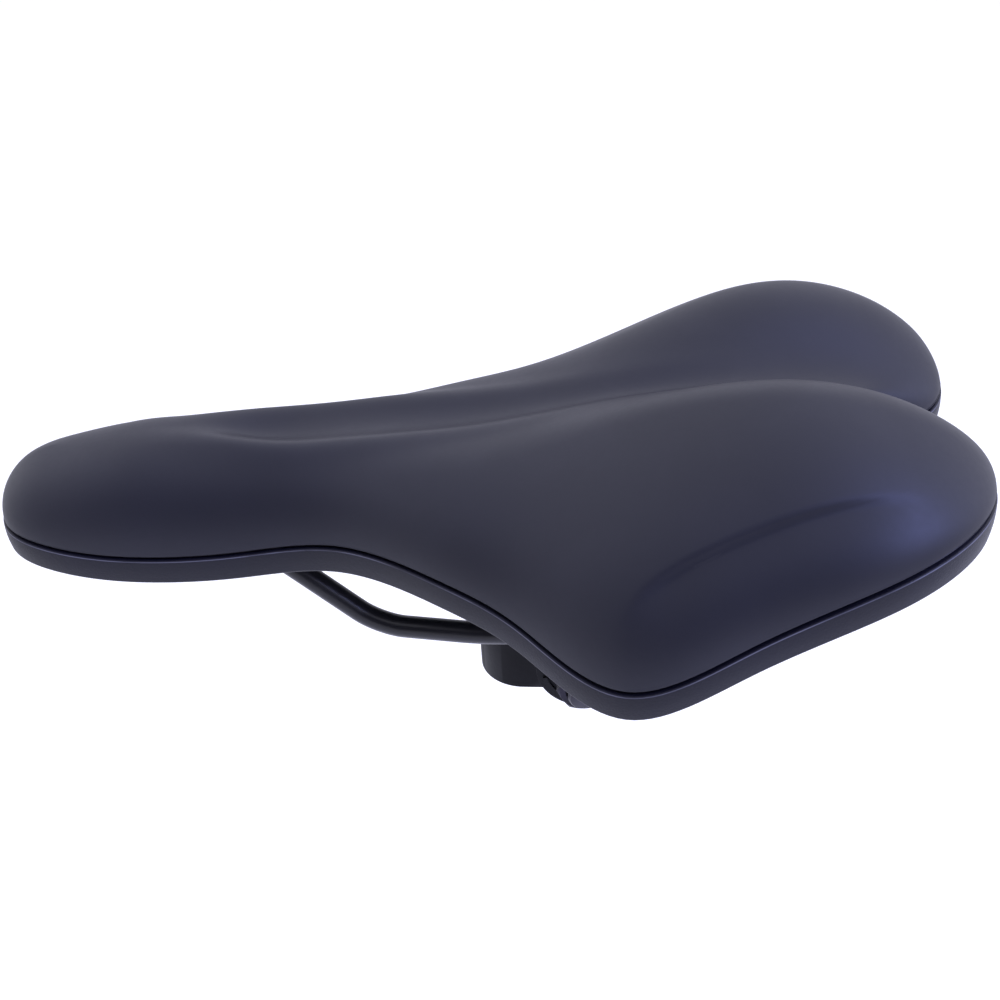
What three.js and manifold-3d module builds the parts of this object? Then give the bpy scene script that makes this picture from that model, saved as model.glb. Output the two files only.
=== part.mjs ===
// A bicycle saddle on its seatpost clamp, in millimetres.
// +X runs to the tail, +Y to the rider's right, +Z up; the origin is the centre of the clamp's post bore.
// The saddle is drawn from its own nose tip and datum plane, then set on the clamp by one group.

import * as THREE from 'three';
import { mergeVertices } from 'three/addons/utils/BufferGeometryUtils.js';
import Module from 'manifold-3d';

// Overall size of the saddle
const SADDLE_LENGTH = 290;
const SADDLE_WIDTH = 162;

// Layers of the seat
const COVER_THICKNESS = 1.4;
const BASE_THICKNESS = 3;
const BASE_RISE = 0.42; // share of the pad's height, seam to crown, that the base dome takes up
const TRIM_HEIGHT = 8.7;
const TRIM_WALL = 2.4;
const TRIM_FLANGE_WIDTH = 9.2;
const SEAM_GAP = 0.6;
const FIT_GAP = 0.3; // between pieces that touch on the real saddle

// Screws that hold the edge trim to the base
const SCREW_DIAMETER = 3.5;
const SCREW_HEAD_DIAMETER = 6.8;
const SCREW_HEAD_HEIGHT = 2.2;
const SCREW_LENGTH = 6;
const SCREW_INSET = 8;
const SCREW_PAD_DIAMETER = 10;
const SCREW_PAD_HEIGHT = 3;
const SCREW_SEAT_DEPTH = 3.6; // below the seam
const SCREW_STATIONS = [0, 3, 5.2, 7.6, 11.4]; // along the outline, counted in its points from the nose

// Rail: one bent rod
const RAIL_DIAMETER = 7;
const RAIL_SPACING = 44; // between rod centres in the clamp
const RAIL_NOSE_SETBACK = 55;
const RAIL_NOSE_LOOP = 18; // across rod centres at the nose
const RAIL_NOSE_DROP = 8; // below the datum plane
const RAIL_TAIL_SETBACK = 28;
const RAIL_TAIL_SPACING = 62;
const RAIL_TAIL_RISE = 10;
const DATUM_ABOVE_RAIL = 40;
const SLIDE_TRAVEL = 12; // each way from the middle

// Clamp
const POST_DIAMETER = 22.2;
const POST_CLEARANCE = 0.1; // on the radius
const BAND_WALL = 3.8;
const BAND_HEIGHT = 25;
const BAND_SLIT = 9;
const BOLT_DIAMETER = 8;
const BOLT_LENGTH = 84;
const BOLT_BEHIND_BAND = 0.5; // from the band's back to the bolt's side
const BOLT_ABOVE_BORE_CENTRE = 6.5;
const RAIL_ABOVE_BOLT = 9;
const PLATE_RADIUS = 14;
const PLATE_WALL = 3;
const PLATE_SEAT_RADIUS = 10;
const PLATE_SEAT_HEIGHT = 1;
const WASHER_DIAMETER = 17;
const WASHER_THICKNESS = 1.6;
const NUT_ACROSS_FLATS = 13;
const NUT_HEIGHT = 6.5;

// Mesh fineness
const OUTLINE_STEPS = 84;
const SKIN_STEPS = 6;
const RAIL_STEPS = 100;
const RAIL_SIDES = 12;
const ROUND_SIDES = 32;
const SCREW_SIDES = 12;

// The saddle's half outline from nose tip to tail notch: share of the length, share of the half width,
// height of the seam above the datum plane, and share of the length where the skin line meets the spine.
const OUTLINE = [
  [0.000, 0.000, -4.5, 0.070],
  [0.010, 0.135, -5.0, 0.076],
  [0.048, 0.257, -6.5, 0.093],
  [0.142, 0.322, -9.0, 0.150],
  [0.270, 0.330, -7.5, 0.280],
  [0.390, 0.380, -2.0, 0.390],
  [0.500, 0.580, -2.5, 0.480],
  [0.580, 0.760, -7.0, 0.560],
  [0.672, 0.990, -11.5, 0.640],
  [0.783, 0.975, 3.5, 0.715],
  [0.897, 0.908, 19.0, 0.780],
  [0.972, 0.698, 24.5, 0.830],
  [1.000, 0.370, 22.0, 0.865],
  [0.976, 0.112, 19.0, 0.885],
  [0.928, 0.000, 15.5, 0.892],
];

// Height of the skin on the centre line: share of the length, height above the datum plane
const CROWN = [
  [0, 12], [0.08, 15.5], [0.17, 20], [0.26, 18.5], [0.38, 21],
  [0.52, 24.5], [0.69, 33], [0.86, 32.5], [1, 25],
];

// The two cushions beside the relief channel: share of the length, rise above the crown,
// distance off centre
const CUSHIONS = [
  [0.14, 0, 9], [0.21, 1.3, 9.5], [0.28, 3.2, 12], [0.38, 2.8, 20],
  [0.52, 4.4, 29], [0.66, 8.8, 28.5], [0.79, 20.8, 36.5], [1, 18.5, 40],
];

// Roundness of the pad's section at the nose and from the waist back
const NOSE_SHOULDER = 2.2;
const TAIL_SHOULDER = 1.65;
const SIDE_ROUNDNESS = 1.9;
const WAIST_SHARE = 0.31;

const railZ = -DATUM_ABOVE_RAIL;
const datumAboveBore = BOLT_ABOVE_BORE_CENTRE + RAIL_ABOVE_BOLT + DATUM_ABOVE_RAIL;
const boreRadius = POST_DIAMETER / 2 + POST_CLEARANCE;
const bandRadius = boreRadius + BAND_WALL;
const boltBehindPost = bandRadius + BOLT_BEHIND_BAND + BOLT_DIAMETER / 2;
const postStation = 0.562 * SADDLE_LENGTH;
const boltStation = postStation + boltBehindPost;
const railRadius = RAIL_DIAMETER / 2;
const grooveRadius = railRadius + FIT_GAP;
const boltHoleRadius = BOLT_DIAMETER / 2 + FIT_GAP;
const foamInset = COVER_THICKNESS + FIT_GAP;
const baseInset = foamInset + FIT_GAP;
const trimInside = 0.3 + TRIM_WALL; // inset of the band's inner face
const insideTrim = TRIM_FLANGE_WIDTH + FIT_GAP;
const screwBossRadius = SCREW_PAD_DIAMETER / 2 - 0.5;
const screwRise = SCREW_LENGTH - SCREW_PAD_HEIGHT - FIT_GAP; // from the seat to the screw's tip

const wasm = await Module();
wasm.setup();

// Solids

function toSolid(geometry) {
  const bare = geometry.clone();
  bare.deleteAttribute('normal');
  bare.deleteAttribute('uv');
  const merged = mergeVertices(bare);
  const vertProperties = new Float32Array(merged.attributes.position.array);
  const triVerts = new Uint32Array(merged.index.array);
  return new wasm.Manifold(new wasm.Mesh({ numProp: 3, vertProperties, triVerts }));
}

function toGeometry(solid) {
  const mesh = solid.getMesh();
  const geometry = new THREE.BufferGeometry();
  geometry.setAttribute('position', new THREE.Float32BufferAttribute(mesh.vertProperties, 3));
  geometry.setIndex(Array.from(mesh.triVerts));
  geometry.computeVertexNormals();
  return geometry;
}

function joined(solids) {
  return solids.reduce((whole, solid) => whole.add(solid));
}

// Curves through named points

// Slopes of the smooth curve through points [at, value], level with a straight run at both ends
function smoothSlopes(points) {
  const slopes = points.map(() => 0);
  const grade = (i) => (points[i + 1][1] - points[i][1]) / (points[i + 1][0] - points[i][0]);
  const last = points.length - 1;
  for (let pass = 0; pass < 60; pass++) {
    slopes[0] = (3 * grade(0) - slopes[1]) / 2;
    for (let i = 1; i < last; i++) {
      const before = 1 / (points[i][0] - points[i - 1][0]);
      const after = 1 / (points[i + 1][0] - points[i][0]);
      const pull = 3 * (grade(i - 1) * before + grade(i) * after);
      slopes[i] = (pull - slopes[i - 1] * before - slopes[i + 1] * after) / (2 * (before + after));
    }
    slopes[last] = (3 * grade(last - 1) - slopes[last - 1]) / 2;
  }
  return slopes;
}

function curveThrough(points) {
  const slopes = smoothSlopes(points);
  const last = points.length - 1;
  return (at) => {
    const place = Math.min(Math.max(at, points[0][0]), points[last][0]);
    let i = 0;
    while (i < last - 1 && place > points[i + 1][0]) i++;
    const span = points[i + 1][0] - points[i][0];
    const s = (place - points[i][0]) / span;
    const rise = points[i + 1][1] - points[i][1];
    const bow = s * (1 - s) * ((slopes[i] * span - rise) * (1 - s) - (slopes[i + 1] * span - rise) * s);
    return points[i][1] + rise * s + bow;
  };
}

// A curve over the outline's points, mirrored beyond both ends so that it closes smoothly
function outlineCurve(values, mirrorSign) {
  const last = values.length - 1;
  const reach = 3;
  const points = [];
  for (let i = -reach; i <= last + reach; i++) {
    const folded = i < 0 ? -i : i > last ? 2 * last - i : i;
    points.push([i, values[folded] * (folded === i ? 1 : mirrorSign)]);
  }
  return curveThrough(points);
}

const outlineLast = OUTLINE.length - 1;
const alongAt = outlineCurve(OUTLINE.map((p) => p[0] * SADDLE_LENGTH), 1);
const acrossAt = outlineCurve(OUTLINE.map((p) => p[1] * SADDLE_WIDTH / 2), -1);
const seamAt = outlineCurve(OUTLINE.map((p) => p[2]), 1);
const spineAt = outlineCurve(OUTLINE.map((p) => p[3] * SADDLE_LENGTH), 1);
const crownAt = curveThrough(CROWN.map((p) => [p[0] * SADDLE_LENGTH, p[1]]));
const cushionRiseAt = curveThrough(CUSHIONS.map((p) => [p[0] * SADDLE_LENGTH, p[1]]));
const cushionOffsetAt = curveThrough(CUSHIONS.map((p) => [p[0] * SADDLE_LENGTH, p[2]]));

const smooth = (s) => s * s * (3 - 2 * s);
const clamped = (s) => Math.min(Math.max(s, 0), 1);

// The seat's shape

// Point of the seam loop moved inwards by inset; station runs nose to tail on the right,
// then back on the left
function rimPoint(station, inset) {
  const right = station <= outlineLast;
  const t = right ? station : 2 * outlineLast - station;
  const step = 0.01;
  const dx = alongAt(t + step) - alongAt(t - step);
  const dy = acrossAt(t + step) - acrossAt(t - step);
  const length = Math.hypot(dx, dy);
  const x = alongAt(t) + inset * dy / length;
  const y = acrossAt(t) - inset * dx / length;
  return { x, y: right ? y : -y, z: seamAt(t), spine: spineAt(t) };
}

// Height of the cover's surface; reach is 1 at the seam and 0 on the spine
function padHeight(x, y, reach, seam, drop) {
  const cushion = cushionRiseAt(x) * smooth(clamped(Math.abs(y) / cushionOffsetAt(x)));
  const blend = smooth(clamped(x / SADDLE_LENGTH / WAIST_SHARE - 1));
  const shoulder = NOSE_SHOULDER + (TAIL_SHOULDER - NOSE_SHOULDER) * blend;
  const roundness = Math.pow(1 - Math.pow(reach, shoulder), 1 / SIDE_ROUNDNESS);
  return seam + (crownAt(x) + cushion - drop - seam) * roundness;
}

// Height of the base's dome under the pad
function baseHeight(x, reach, seam, drop) {
  return seam + (BASE_RISE * (crownAt(x) - seam) - drop) * (1 - reach * reach);
}

const padLayer = (inset, drop) => (
  { inset, height: (x, y, reach, seam) => padHeight(x, y, reach, seam, drop) }
);
const baseLayer = (inset, drop, sink) => (
  { inset, height: (x, y, reach, seam) => baseHeight(x, reach, seam, drop) - sink }
);

function layerPoint(layer, station, reach) {
  const rim = rimPoint(station, layer.inset);
  const x = rim.x * reach + rim.spine * (1 - reach);
  const y = rim.y * reach;
  return [x, y, layer.height(x, y, reach, rim.z)];
}

// Rows of points round the outline, from the spine out to the rim
function layerRows(layer) {
  const rows = [];
  for (let j = 0; j <= SKIN_STEPS; j++) {
    const reach = Math.sin((j / SKIN_STEPS) * Math.PI / 2);
    const row = [];
    for (let i = 0; i < OUTLINE_STEPS; i++) {
      row.push(layerPoint(layer, 2 * outlineLast * i / OUTLINE_STEPS, reach));
    }
    rows.push(row);
  }
  return rows;
}

const gap = (p, q) => Math.hypot(p[0] - q[0], p[1] - q[1], p[2] - q[2]);

// Rows of points, each a closed loop, stitched in order; the result closes when the loops at both ends do.
// Each square is split along its shorter diagonal, so that layers lying close together are split alike.
function stitched(rows) {
  const positions = rows.flat(2);
  const count = rows[0].length;
  const index = [];
  for (let j = 0; j + 1 < rows.length; j++) {
    for (let i = 0; i < count; i++) {
      const next = (i + 1) % count;
      const a = j * count + i;
      const b = j * count + next;
      if (gap(rows[j][i], rows[j + 1][next]) < gap(rows[j][next], rows[j + 1][i])) {
        index.push(a, b, b + count, a, b + count, a + count);
      } else {
        index.push(a, b, a + count, b, b + count, a + count);
      }
    }
  }
  const geometry = new THREE.BufferGeometry();
  geometry.setAttribute('position', new THREE.Float32BufferAttribute(positions, 3));
  geometry.setIndex(index);
  return outward(geometry);
}

// Turns every face over when the closed surface would point inwards
function outward(geometry) {
  const merged = mergeVertices(geometry);
  const p = merged.attributes.position;
  const index = Array.from(merged.index.array);
  const kept = [];
  let volume = 0;
  const corner = (n) => new THREE.Vector3().fromBufferAttribute(p, n);
  for (let i = 0; i < index.length; i += 3) {
    const [a, b, c] = index.slice(i, i + 3);
    if (a !== b && b !== c && c !== a) {
      kept.push(a, b, c);
      volume += corner(a).dot(corner(b).cross(corner(c)));
    }
  }
  if (volume < 0) kept.reverse();
  merged.setIndex(kept);
  return merged;
}

// A closed piece between an upper and a lower layer, joined round the rim
function layeredSolid(upper, lower) {
  return stitched([...layerRows(upper), ...layerRows(lower).reverse()]);
}

// A closed band round the seam loop; its section holds insets from the loop and heights over the seam
function hoop(section) {
  const rows = [...section, section[0]].map(([inset, height]) => {
    const row = [];
    for (let i = 0; i < OUTLINE_STEPS; i++) {
      const rim = rimPoint(2 * outlineLast * i / OUTLINE_STEPS, inset);
      row.push([rim.x, rim.y, rim.z + height]);
    }
    return row;
  });
  return toSolid(stitched(rows));
}

function coverGeometry() {
  return layeredSolid(padLayer(0, 0), padLayer(COVER_THICKNESS, COVER_THICKNESS));
}

function foamGeometry() {
  return layeredSolid(padLayer(foamInset, foamInset + FIT_GAP), baseLayer(foamInset, 0, 0));
}

// Round pieces

function ringShape(outerRadius, innerRadius) {
  const shape = new THREE.Shape(circlePoints(outerRadius, ROUND_SIDES));
  shape.holes.push(new THREE.Path(circlePoints(innerRadius, ROUND_SIDES)));
  return shape;
}

function circlePoints(radius, sides) {
  const points = [];
  for (let i = 0; i < sides; i++) {
    const angle = 2 * Math.PI * i / sides;
    points.push(new THREE.Vector2(radius * Math.cos(angle), radius * Math.sin(angle)));
  }
  return points;
}

function upright(shape, low, high) {
  const geometry = new THREE.ExtrudeGeometry(shape, { depth: high - low, bevelEnabled: false });
  return geometry.translate(0, 0, low);
}

// A shape drawn in X and Z, standing between two values of Y
function across(shape, low, high) {
  const geometry = new THREE.ExtrudeGeometry(shape, { depth: high - low, bevelEnabled: false });
  return geometry.rotateX(Math.PI / 2).translate(0, high, 0);
}

const disc = (radius, sides = ROUND_SIDES) => new THREE.Shape(circlePoints(radius, sides));

// Rail

// The rod's corners on the rider's right, tail to nose,
// each with the length its bend takes up on both sides
function railCorners() {
  const straightHalf = PLATE_RADIUS + SLIDE_TRAVEL;
  const tailBend = 11;
  const legRun = 43;
  const noseHalf = RAIL_NOSE_LOOP / 2;
  const spread = RAIL_SPACING / 2;
  const straightFront = boltStation - straightHalf - 6;
  const legFoot = straightFront - 31;
  const legHead = legFoot - legRun;
  return [
    { at: [SADDLE_LENGTH - RAIL_TAIL_SETBACK, RAIL_TAIL_SPACING / 2, RAIL_TAIL_RISE], bend: 0 },
    { at: [boltStation + straightHalf + tailBend, spread, railZ], bend: tailBend },
    { at: [straightFront, spread, railZ], bend: 5 },
    { at: [legFoot, noseHalf + 0.71 * (spread - noseHalf), railZ], bend: 8 },
    { at: [legHead, noseHalf + 0.19 * (spread - noseHalf), -RAIL_NOSE_DROP], bend: 10 },
    { at: [RAIL_NOSE_SETBACK, noseHalf, -RAIL_NOSE_DROP], bend: noseHalf },
  ];
}

// The whole rod's centre line: straight runs between corners, rounded by bends
function railPath() {
  const right = railCorners();
  const left = right.map(({ at, bend }) => ({ at: [at[0], -at[1], at[2]], bend })).reverse();
  const corners = [...right, ...left].map(({ at, bend }) => ({ at: new THREE.Vector3(...at), bend }));
  const path = new THREE.CurvePath();
  const circleHandle = 0.55;
  let from = corners[0].at;
  for (let i = 1; i + 1 < corners.length; i++) {
    const corner = corners[i].at;
    const enter = corner.clone().add(corners[i - 1].at.clone().sub(corner).setLength(corners[i].bend));
    const leave = corner.clone().add(corners[i + 1].at.clone().sub(corner).setLength(corners[i].bend));
    if (enter.distanceTo(from) > 0.01) path.add(new THREE.LineCurve3(from, enter));
    const enterHandle = enter.clone().lerp(corner, circleHandle);
    const leaveHandle = leave.clone().lerp(corner, circleHandle);
    path.add(new THREE.CubicBezierCurve3(enter, enterHandle, leaveHandle, leave));
    from = leave;
  }
  path.add(new THREE.LineCurve3(from, corners[corners.length - 1].at));
  return path;
}

function railGeometry(radius) {
  const options = { steps: RAIL_STEPS, bevelEnabled: false, extrudePath: railPath() };
  return new THREE.ExtrudeGeometry(disc(radius, RAIL_SIDES), options);
}

// Base shell

// Everything under the base's upper surface and inside an inset,
// which trims what is moulded below the shell
function underBase(inset) {
  const top = layerRows(baseLayer(inset, 0, FIT_GAP));
  const floor = layerRows({ inset, height: () => railZ - 20 });
  return toSolid(stitched([...top, ...floor.reverse()]));
}

function noseHook() {
  const width = RAIL_NOSE_LOOP + RAIL_DIAMETER + 7;
  const length = 17;
  const block = new THREE.BoxGeometry(length, width, 40);
  block.translate(RAIL_NOSE_SETBACK + 1, 0, 20 - RAIL_NOSE_DROP - railRadius - 3);
  return toSolid(block);
}

function tailSocket(side) {
  const [end, foot] = railCorners().map(({ at }) => new THREE.Vector3(at[0], side * at[1], at[2]));
  const direction = foot.clone().sub(end).normalize();
  const depth = 17;
  const overrun = 30;
  const geometry = new THREE.CylinderGeometry(railRadius + 4, railRadius + 4, depth + overrun, 20);
  const upTurn = new THREE.Quaternion().setFromUnitVectors(new THREE.Vector3(0, 1, 0), direction);
  const middle = end.clone().addScaledVector(direction, (depth - overrun) / 2);
  return toSolid(geometry.applyQuaternion(upTurn).translate(middle.x, middle.y, middle.z));
}

// Stiffening ribs: thin walls that hang a fixed depth below the shell
function ribs() {
  const ribThickness = 2.4;
  const ribDepth = 6;
  const hanging = toSolid(layeredSolid(
    baseLayer(insideTrim, 0, FIT_GAP),
    baseLayer(insideTrim + ribDepth / 2, BASE_THICKNESS + ribDepth, FIT_GAP),
  ));
  const walls = [];
  for (const station of [0.36, 0.55, 0.68, 0.8]) {
    const wall = new THREE.BoxGeometry(ribThickness, SADDLE_WIDTH, 200);
    walls.push(toSolid(wall.translate(station * SADDLE_LENGTH, 0, 0)));
  }
  const keel = new THREE.BoxGeometry(SADDLE_LENGTH, ribThickness, 200);
  walls.push(toSolid(keel.translate(SADDLE_LENGTH / 2, 0, 0)));
  return hanging.intersect(joined(walls));
}

function screwPlaces() {
  const stations = SCREW_STATIONS.flatMap((t) => (t === 0 ? [t] : [t, 2 * outlineLast - t]));
  return stations.map((station) => {
    const { x, y, z } = rimPoint(station, SCREW_INSET);
    return { x, y, seat: z - SCREW_SEAT_DEPTH };
  });
}

// A round column over a screw's seat, between two heights from it
function screwColumn(radius, low, high) {
  return ({ x, y, seat }) => {
    const column = upright(disc(radius, SCREW_SIDES), seat + low, seat + high);
    return toSolid(column.translate(x, y, 0));
  };
}

// A skirt below the shell's rim, just inside the trim, which closes the seam from within
function baseSkirt() {
  const outer = trimInside + FIT_GAP;
  const inner = outer + 1.4;
  const foot = FIT_GAP - SCREW_SEAT_DEPTH;
  const root = -FIT_GAP / 2;
  return hoop([[outer, foot], [inner, foot], [inner, root], [outer, root]]);
}

function baseGeometry() {
  const shell = toSolid(layeredSolid(
    baseLayer(baseInset, 0, FIT_GAP),
    baseLayer(baseInset + BASE_THICKNESS, BASE_THICKNESS, FIT_GAP),
  ));
  const places = screwPlaces();
  const padRoom = SCREW_PAD_DIAMETER / 2 + FIT_GAP;
  const bosses = places.map(screwColumn(screwBossRadius, FIT_GAP, 60));
  const studs = joined(bosses).intersect(underBase(baseInset));
  const holders = joined([noseHook(), tailSocket(1), tailSocket(-1)]).intersect(underBase(insideTrim));
  const cuts = [
    toSolid(railGeometry(grooveRadius)),
    ...places.map(screwColumn(padRoom, -SCREW_PAD_HEIGHT - 5, FIT_GAP)),
    ...places.map(screwColumn(SCREW_DIAMETER / 2 + FIT_GAP, -1, screwRise + FIT_GAP)),
  ];
  return toGeometry(joined([shell, baseSkirt(), holders, studs, ribs()]).subtract(joined(cuts)));
}

// Edge trim

// The band's section, going round once
function trimSection() {
  const top = -SEAM_GAP;
  const foot = top - TRIM_HEIGHT;
  const flangeTop = -SCREW_SEAT_DEPTH - FIT_GAP;
  const flangeFoot = flangeTop - TRIM_WALL;
  const inner = trimInside;
  return [
    [1.0, top], [0.5, top - 0.25], [0.3, top - 0.9], [0.6, foot + 1.2], [1.0, foot + 0.3], [1.7, foot],
    [inner, foot + 0.5], [inner + 0.1, flangeFoot],
    [TRIM_FLANGE_WIDTH, flangeFoot], [TRIM_FLANGE_WIDTH, flangeTop],
    [inner, flangeTop], [inner, top - 1], [1.9, top],
  ];
}

function trimGeometry() {
  const places = screwPlaces();
  const headRoom = SCREW_HEAD_DIAMETER / 2 + 0.6;
  const pads = places.map(screwColumn(SCREW_PAD_DIAMETER / 2, -SCREW_PAD_HEIGHT, 0));
  const cuts = [
    ...places.map(screwColumn(screwBossRadius + FIT_GAP, 0, 12)),
    ...places.map(screwColumn(SCREW_DIAMETER / 2 + FIT_GAP, -20, 20)),
    ...places.map(screwColumn(headRoom, -SCREW_PAD_HEIGHT - 8, -SCREW_PAD_HEIGHT)),
    toSolid(railGeometry(railRadius + 1)),
  ];
  return toGeometry(hoop(trimSection()).add(joined(pads)).subtract(joined(cuts)));
}

// Screws

// A pan-head screw, head down, its seat at the foot of the pad
function screwGeometry() {
  const shank = SCREW_DIAMETER / 2;
  const head = SCREW_HEAD_DIAMETER / 2;
  const under = -SCREW_PAD_HEIGHT - FIT_GAP;
  const foot = under - SCREW_HEAD_HEIGHT;
  const profile = [
    [0, foot + 0.8], [0.9, foot + 0.8], [1.1, foot], [head - 1, foot + 0.2],
    [head - 0.2, foot + 0.9], [head, under],
    [shank, under], [shank, screwRise - 1.5], [0.4, screwRise], [0, screwRise],
  ].map(([r, z]) => new THREE.Vector2(r, z));
  return new THREE.LatheGeometry(profile, SCREW_SIDES).rotateX(Math.PI / 2);
}

// Seatpost band

// A flat leg of the band with its round ear about the bolt, seen from the side
function legShape() {
  const half = BAND_HEIGHT / 2;
  const shape = new THREE.Shape();
  const ear = PLATE_RADIUS - 1;
  shape.moveTo(0, -half);
  shape.lineTo(boltBehindPost * 0.55, -half);
  shape.lineTo(boltBehindPost + ear * Math.cos(-0.9), BOLT_ABOVE_BORE_CENTRE + ear * Math.sin(-0.9));
  shape.absarc(boltBehindPost, BOLT_ABOVE_BORE_CENTRE, ear, -0.9, 1.9, false);
  shape.lineTo(0, half);
  return shape;
}

function bandGeometry() {
  const half = BAND_HEIGHT / 2;
  const ring = toSolid(upright(disc(bandRadius, 48), -half, half));
  const legs = [-bandRadius, boreRadius].map((low) => toSolid(across(legShape(), low, low + BAND_WALL)));
  const bore = toSolid(upright(disc(boreRadius, 48), -half - 1, half + 1));
  const slit = new THREE.BoxGeometry(bandRadius, BAND_SLIT, BAND_HEIGHT + 2).translate(bandRadius, 0, 0);
  const boltHole = across(disc(boltHoleRadius), -bandRadius - 1, bandRadius + 1);
  boltHole.translate(boltBehindPost, 0, BOLT_ABOVE_BORE_CENTRE);
  const whole = joined([ring, ...legs]).subtract(bore).subtract(toSolid(slit)).subtract(toSolid(boltHole));
  return toGeometry(whole);
}

// Clamp plates, drawn about the bolt for the rider's right

const railOffset = RAIL_SPACING / 2;
const innerPlateFace = bandRadius + FIT_GAP;
const outerPlateFace = 2 * railOffset - innerPlateFace;
const plateGap = 1.2; // between the plates' rims once the rail is gripped

function plateShape() {
  const shape = new THREE.Shape();
  shape.moveTo(PLATE_RADIUS, RAIL_ABOVE_BOLT);
  shape.lineTo(-PLATE_RADIUS, RAIL_ABOVE_BOLT);
  shape.absarc(0, 0, PLATE_RADIUS, Math.PI, 2 * Math.PI, false);
  return shape;
}

function plateRimShape() {
  const shape = new THREE.Shape();
  shape.absarc(0, 0, PLATE_RADIUS, Math.PI, 2 * Math.PI, false);
  shape.absarc(0, 0, PLATE_RADIUS - PLATE_WALL, 2 * Math.PI, Math.PI, true);
  return shape;
}

// A pressed plate: flat web, round rim below and a half-round groove over the rail.
// Its web stands at the distance flatFace off centre and it grips the rail from that side.
function plateSolid(flatFace, extras = []) {
  const inner = flatFace < railOffset;
  const web = inner ? [flatFace, flatFace + PLATE_WALL] : [flatFace - PLATE_WALL, flatFace];
  const deep = inner ? [flatFace, railOffset - plateGap / 2] : [railOffset + plateGap / 2, flatFace];
  const middle = (deep[0] + deep[1]) / 2;
  const gripRadius = grooveRadius + PLATE_WALL;
  const grip = new THREE.CylinderGeometry(gripRadius, gripRadius, 2 * PLATE_RADIUS, ROUND_SIDES);
  grip.rotateZ(Math.PI / 2).translate(0, railOffset, RAIL_ABOVE_BOLT);
  const half = new THREE.BoxGeometry(60, deep[1] - deep[0], 60).translate(0, middle, 0);
  const groove = new THREE.CylinderGeometry(grooveRadius, grooveRadius, 60, ROUND_SIDES);
  groove.rotateZ(Math.PI / 2).translate(0, railOffset, RAIL_ABOVE_BOLT);
  const boltHole = across(disc(boltHoleRadius), 0, 60);
  const bulge = toSolid(grip).intersect(toSolid(half));
  const flat = toSolid(across(plateShape(), ...web));
  const rim = toSolid(across(plateRimShape(), ...deep));
  return joined([flat, rim, bulge, ...extras]).subtract(toSolid(groove)).subtract(toSolid(boltHole));
}

function innerPlateGeometry() {
  return toGeometry(plateSolid(innerPlateFace));
}

// The outer plate also has a raised seat for the washer
function outerPlateGeometry() {
  const ring = ringShape(PLATE_SEAT_RADIUS, boltHoleRadius);
  const seat = across(ring, outerPlateFace - PLATE_WALL / 2, outerPlateFace + PLATE_SEAT_HEIGHT);
  return toGeometry(plateSolid(outerPlateFace, [toSolid(seat)]));
}

// Fasteners on the cross bolt, drawn about the bolt for the rider's right

const washerFace = outerPlateFace + PLATE_SEAT_HEIGHT + FIT_GAP;
const nutFace = washerFace + WASHER_THICKNESS + FIT_GAP;

function washerGeometry() {
  return across(ringShape(WASHER_DIAMETER / 2, boltHoleRadius), washerFace, washerFace + WASHER_THICKNESS);
}

// A hexagon nut with its corners turned down on the outer side
function nutGeometry() {
  const corner = NUT_ACROSS_FLATS / 2 / Math.cos(Math.PI / 6);
  const hexagon = disc(corner, 6);
  hexagon.holes.push(new THREE.Path(circlePoints(boltHoleRadius, ROUND_SIDES)));
  const turned = [
    [0, 0], [corner - 0.6, 0], [corner + 0.2, 0.9], [corner + 0.2, NUT_HEIGHT - 0.9],
    [corner - 0.6, NUT_HEIGHT], [0, NUT_HEIGHT],
  ].map(([r, y]) => new THREE.Vector2(r, y));
  const turning = new THREE.LatheGeometry(turned, ROUND_SIDES).translate(0, nutFace, 0);
  return toGeometry(toSolid(across(hexagon, nutFace, nutFace + NUT_HEIGHT)).intersect(toSolid(turning)));
}

function boltGeometry() {
  const radius = BOLT_DIAMETER / 2;
  const half = BOLT_LENGTH / 2;
  const profile = [
    [0, -half], [radius - 0.8, -half], [radius, 0.8 - half],
    [radius, half - 0.8], [radius - 0.8, half], [0, half],
  ];
  return new THREE.LatheGeometry(profile.map(([r, y]) => new THREE.Vector2(r, y)), ROUND_SIDES);
}

// Materials

function finish(color, roughness, metalness) {
  return new THREE.MeshStandardMaterial({ color, roughness, metalness });
}

const coverSkin = finish(0x2a2a35, 0.55, 0);
const foamSkin = finish(0xd8c68a, 0.9, 0);
const basePlastic = finish(0x1c1c20, 0.6, 0);
const trimPlastic = finish(0x24242c, 0.5, 0);
const railPaint = finish(0x16161a, 0.35, 0.3);
const clampSteel = finish(0x1e1d22, 0.45, 0.5);
const zincSteel = finish(0x9a9ca0, 0.35, 1);

// Assembly

function piece(name, geometry, material, x = 0, y = 0, z = 0) {
  const mesh = new THREE.Mesh(geometry, material);
  mesh.name = name;
  mesh.position.set(x, y, z);
  return mesh;
}

function saddleTop() {
  const group = new THREE.Group();
  group.position.set(-postStation, 0, datumAboveBore);
  group.add(piece('cover', coverGeometry(), coverSkin));
  group.add(piece('foam_pad', foamGeometry(), foamSkin));
  group.add(piece('base_shell', baseGeometry(), basePlastic));
  group.add(piece('edge_trim', trimGeometry(), trimPlastic));
  group.add(piece('rail', railGeometry(railRadius), railPaint));
  screwPlaces().forEach(({ x, y, seat }, i) => {
    group.add(piece(`trim_screw_${i + 1}`, screwGeometry(), zincSteel, x, y, seat));
  });
  return group;
}

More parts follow.
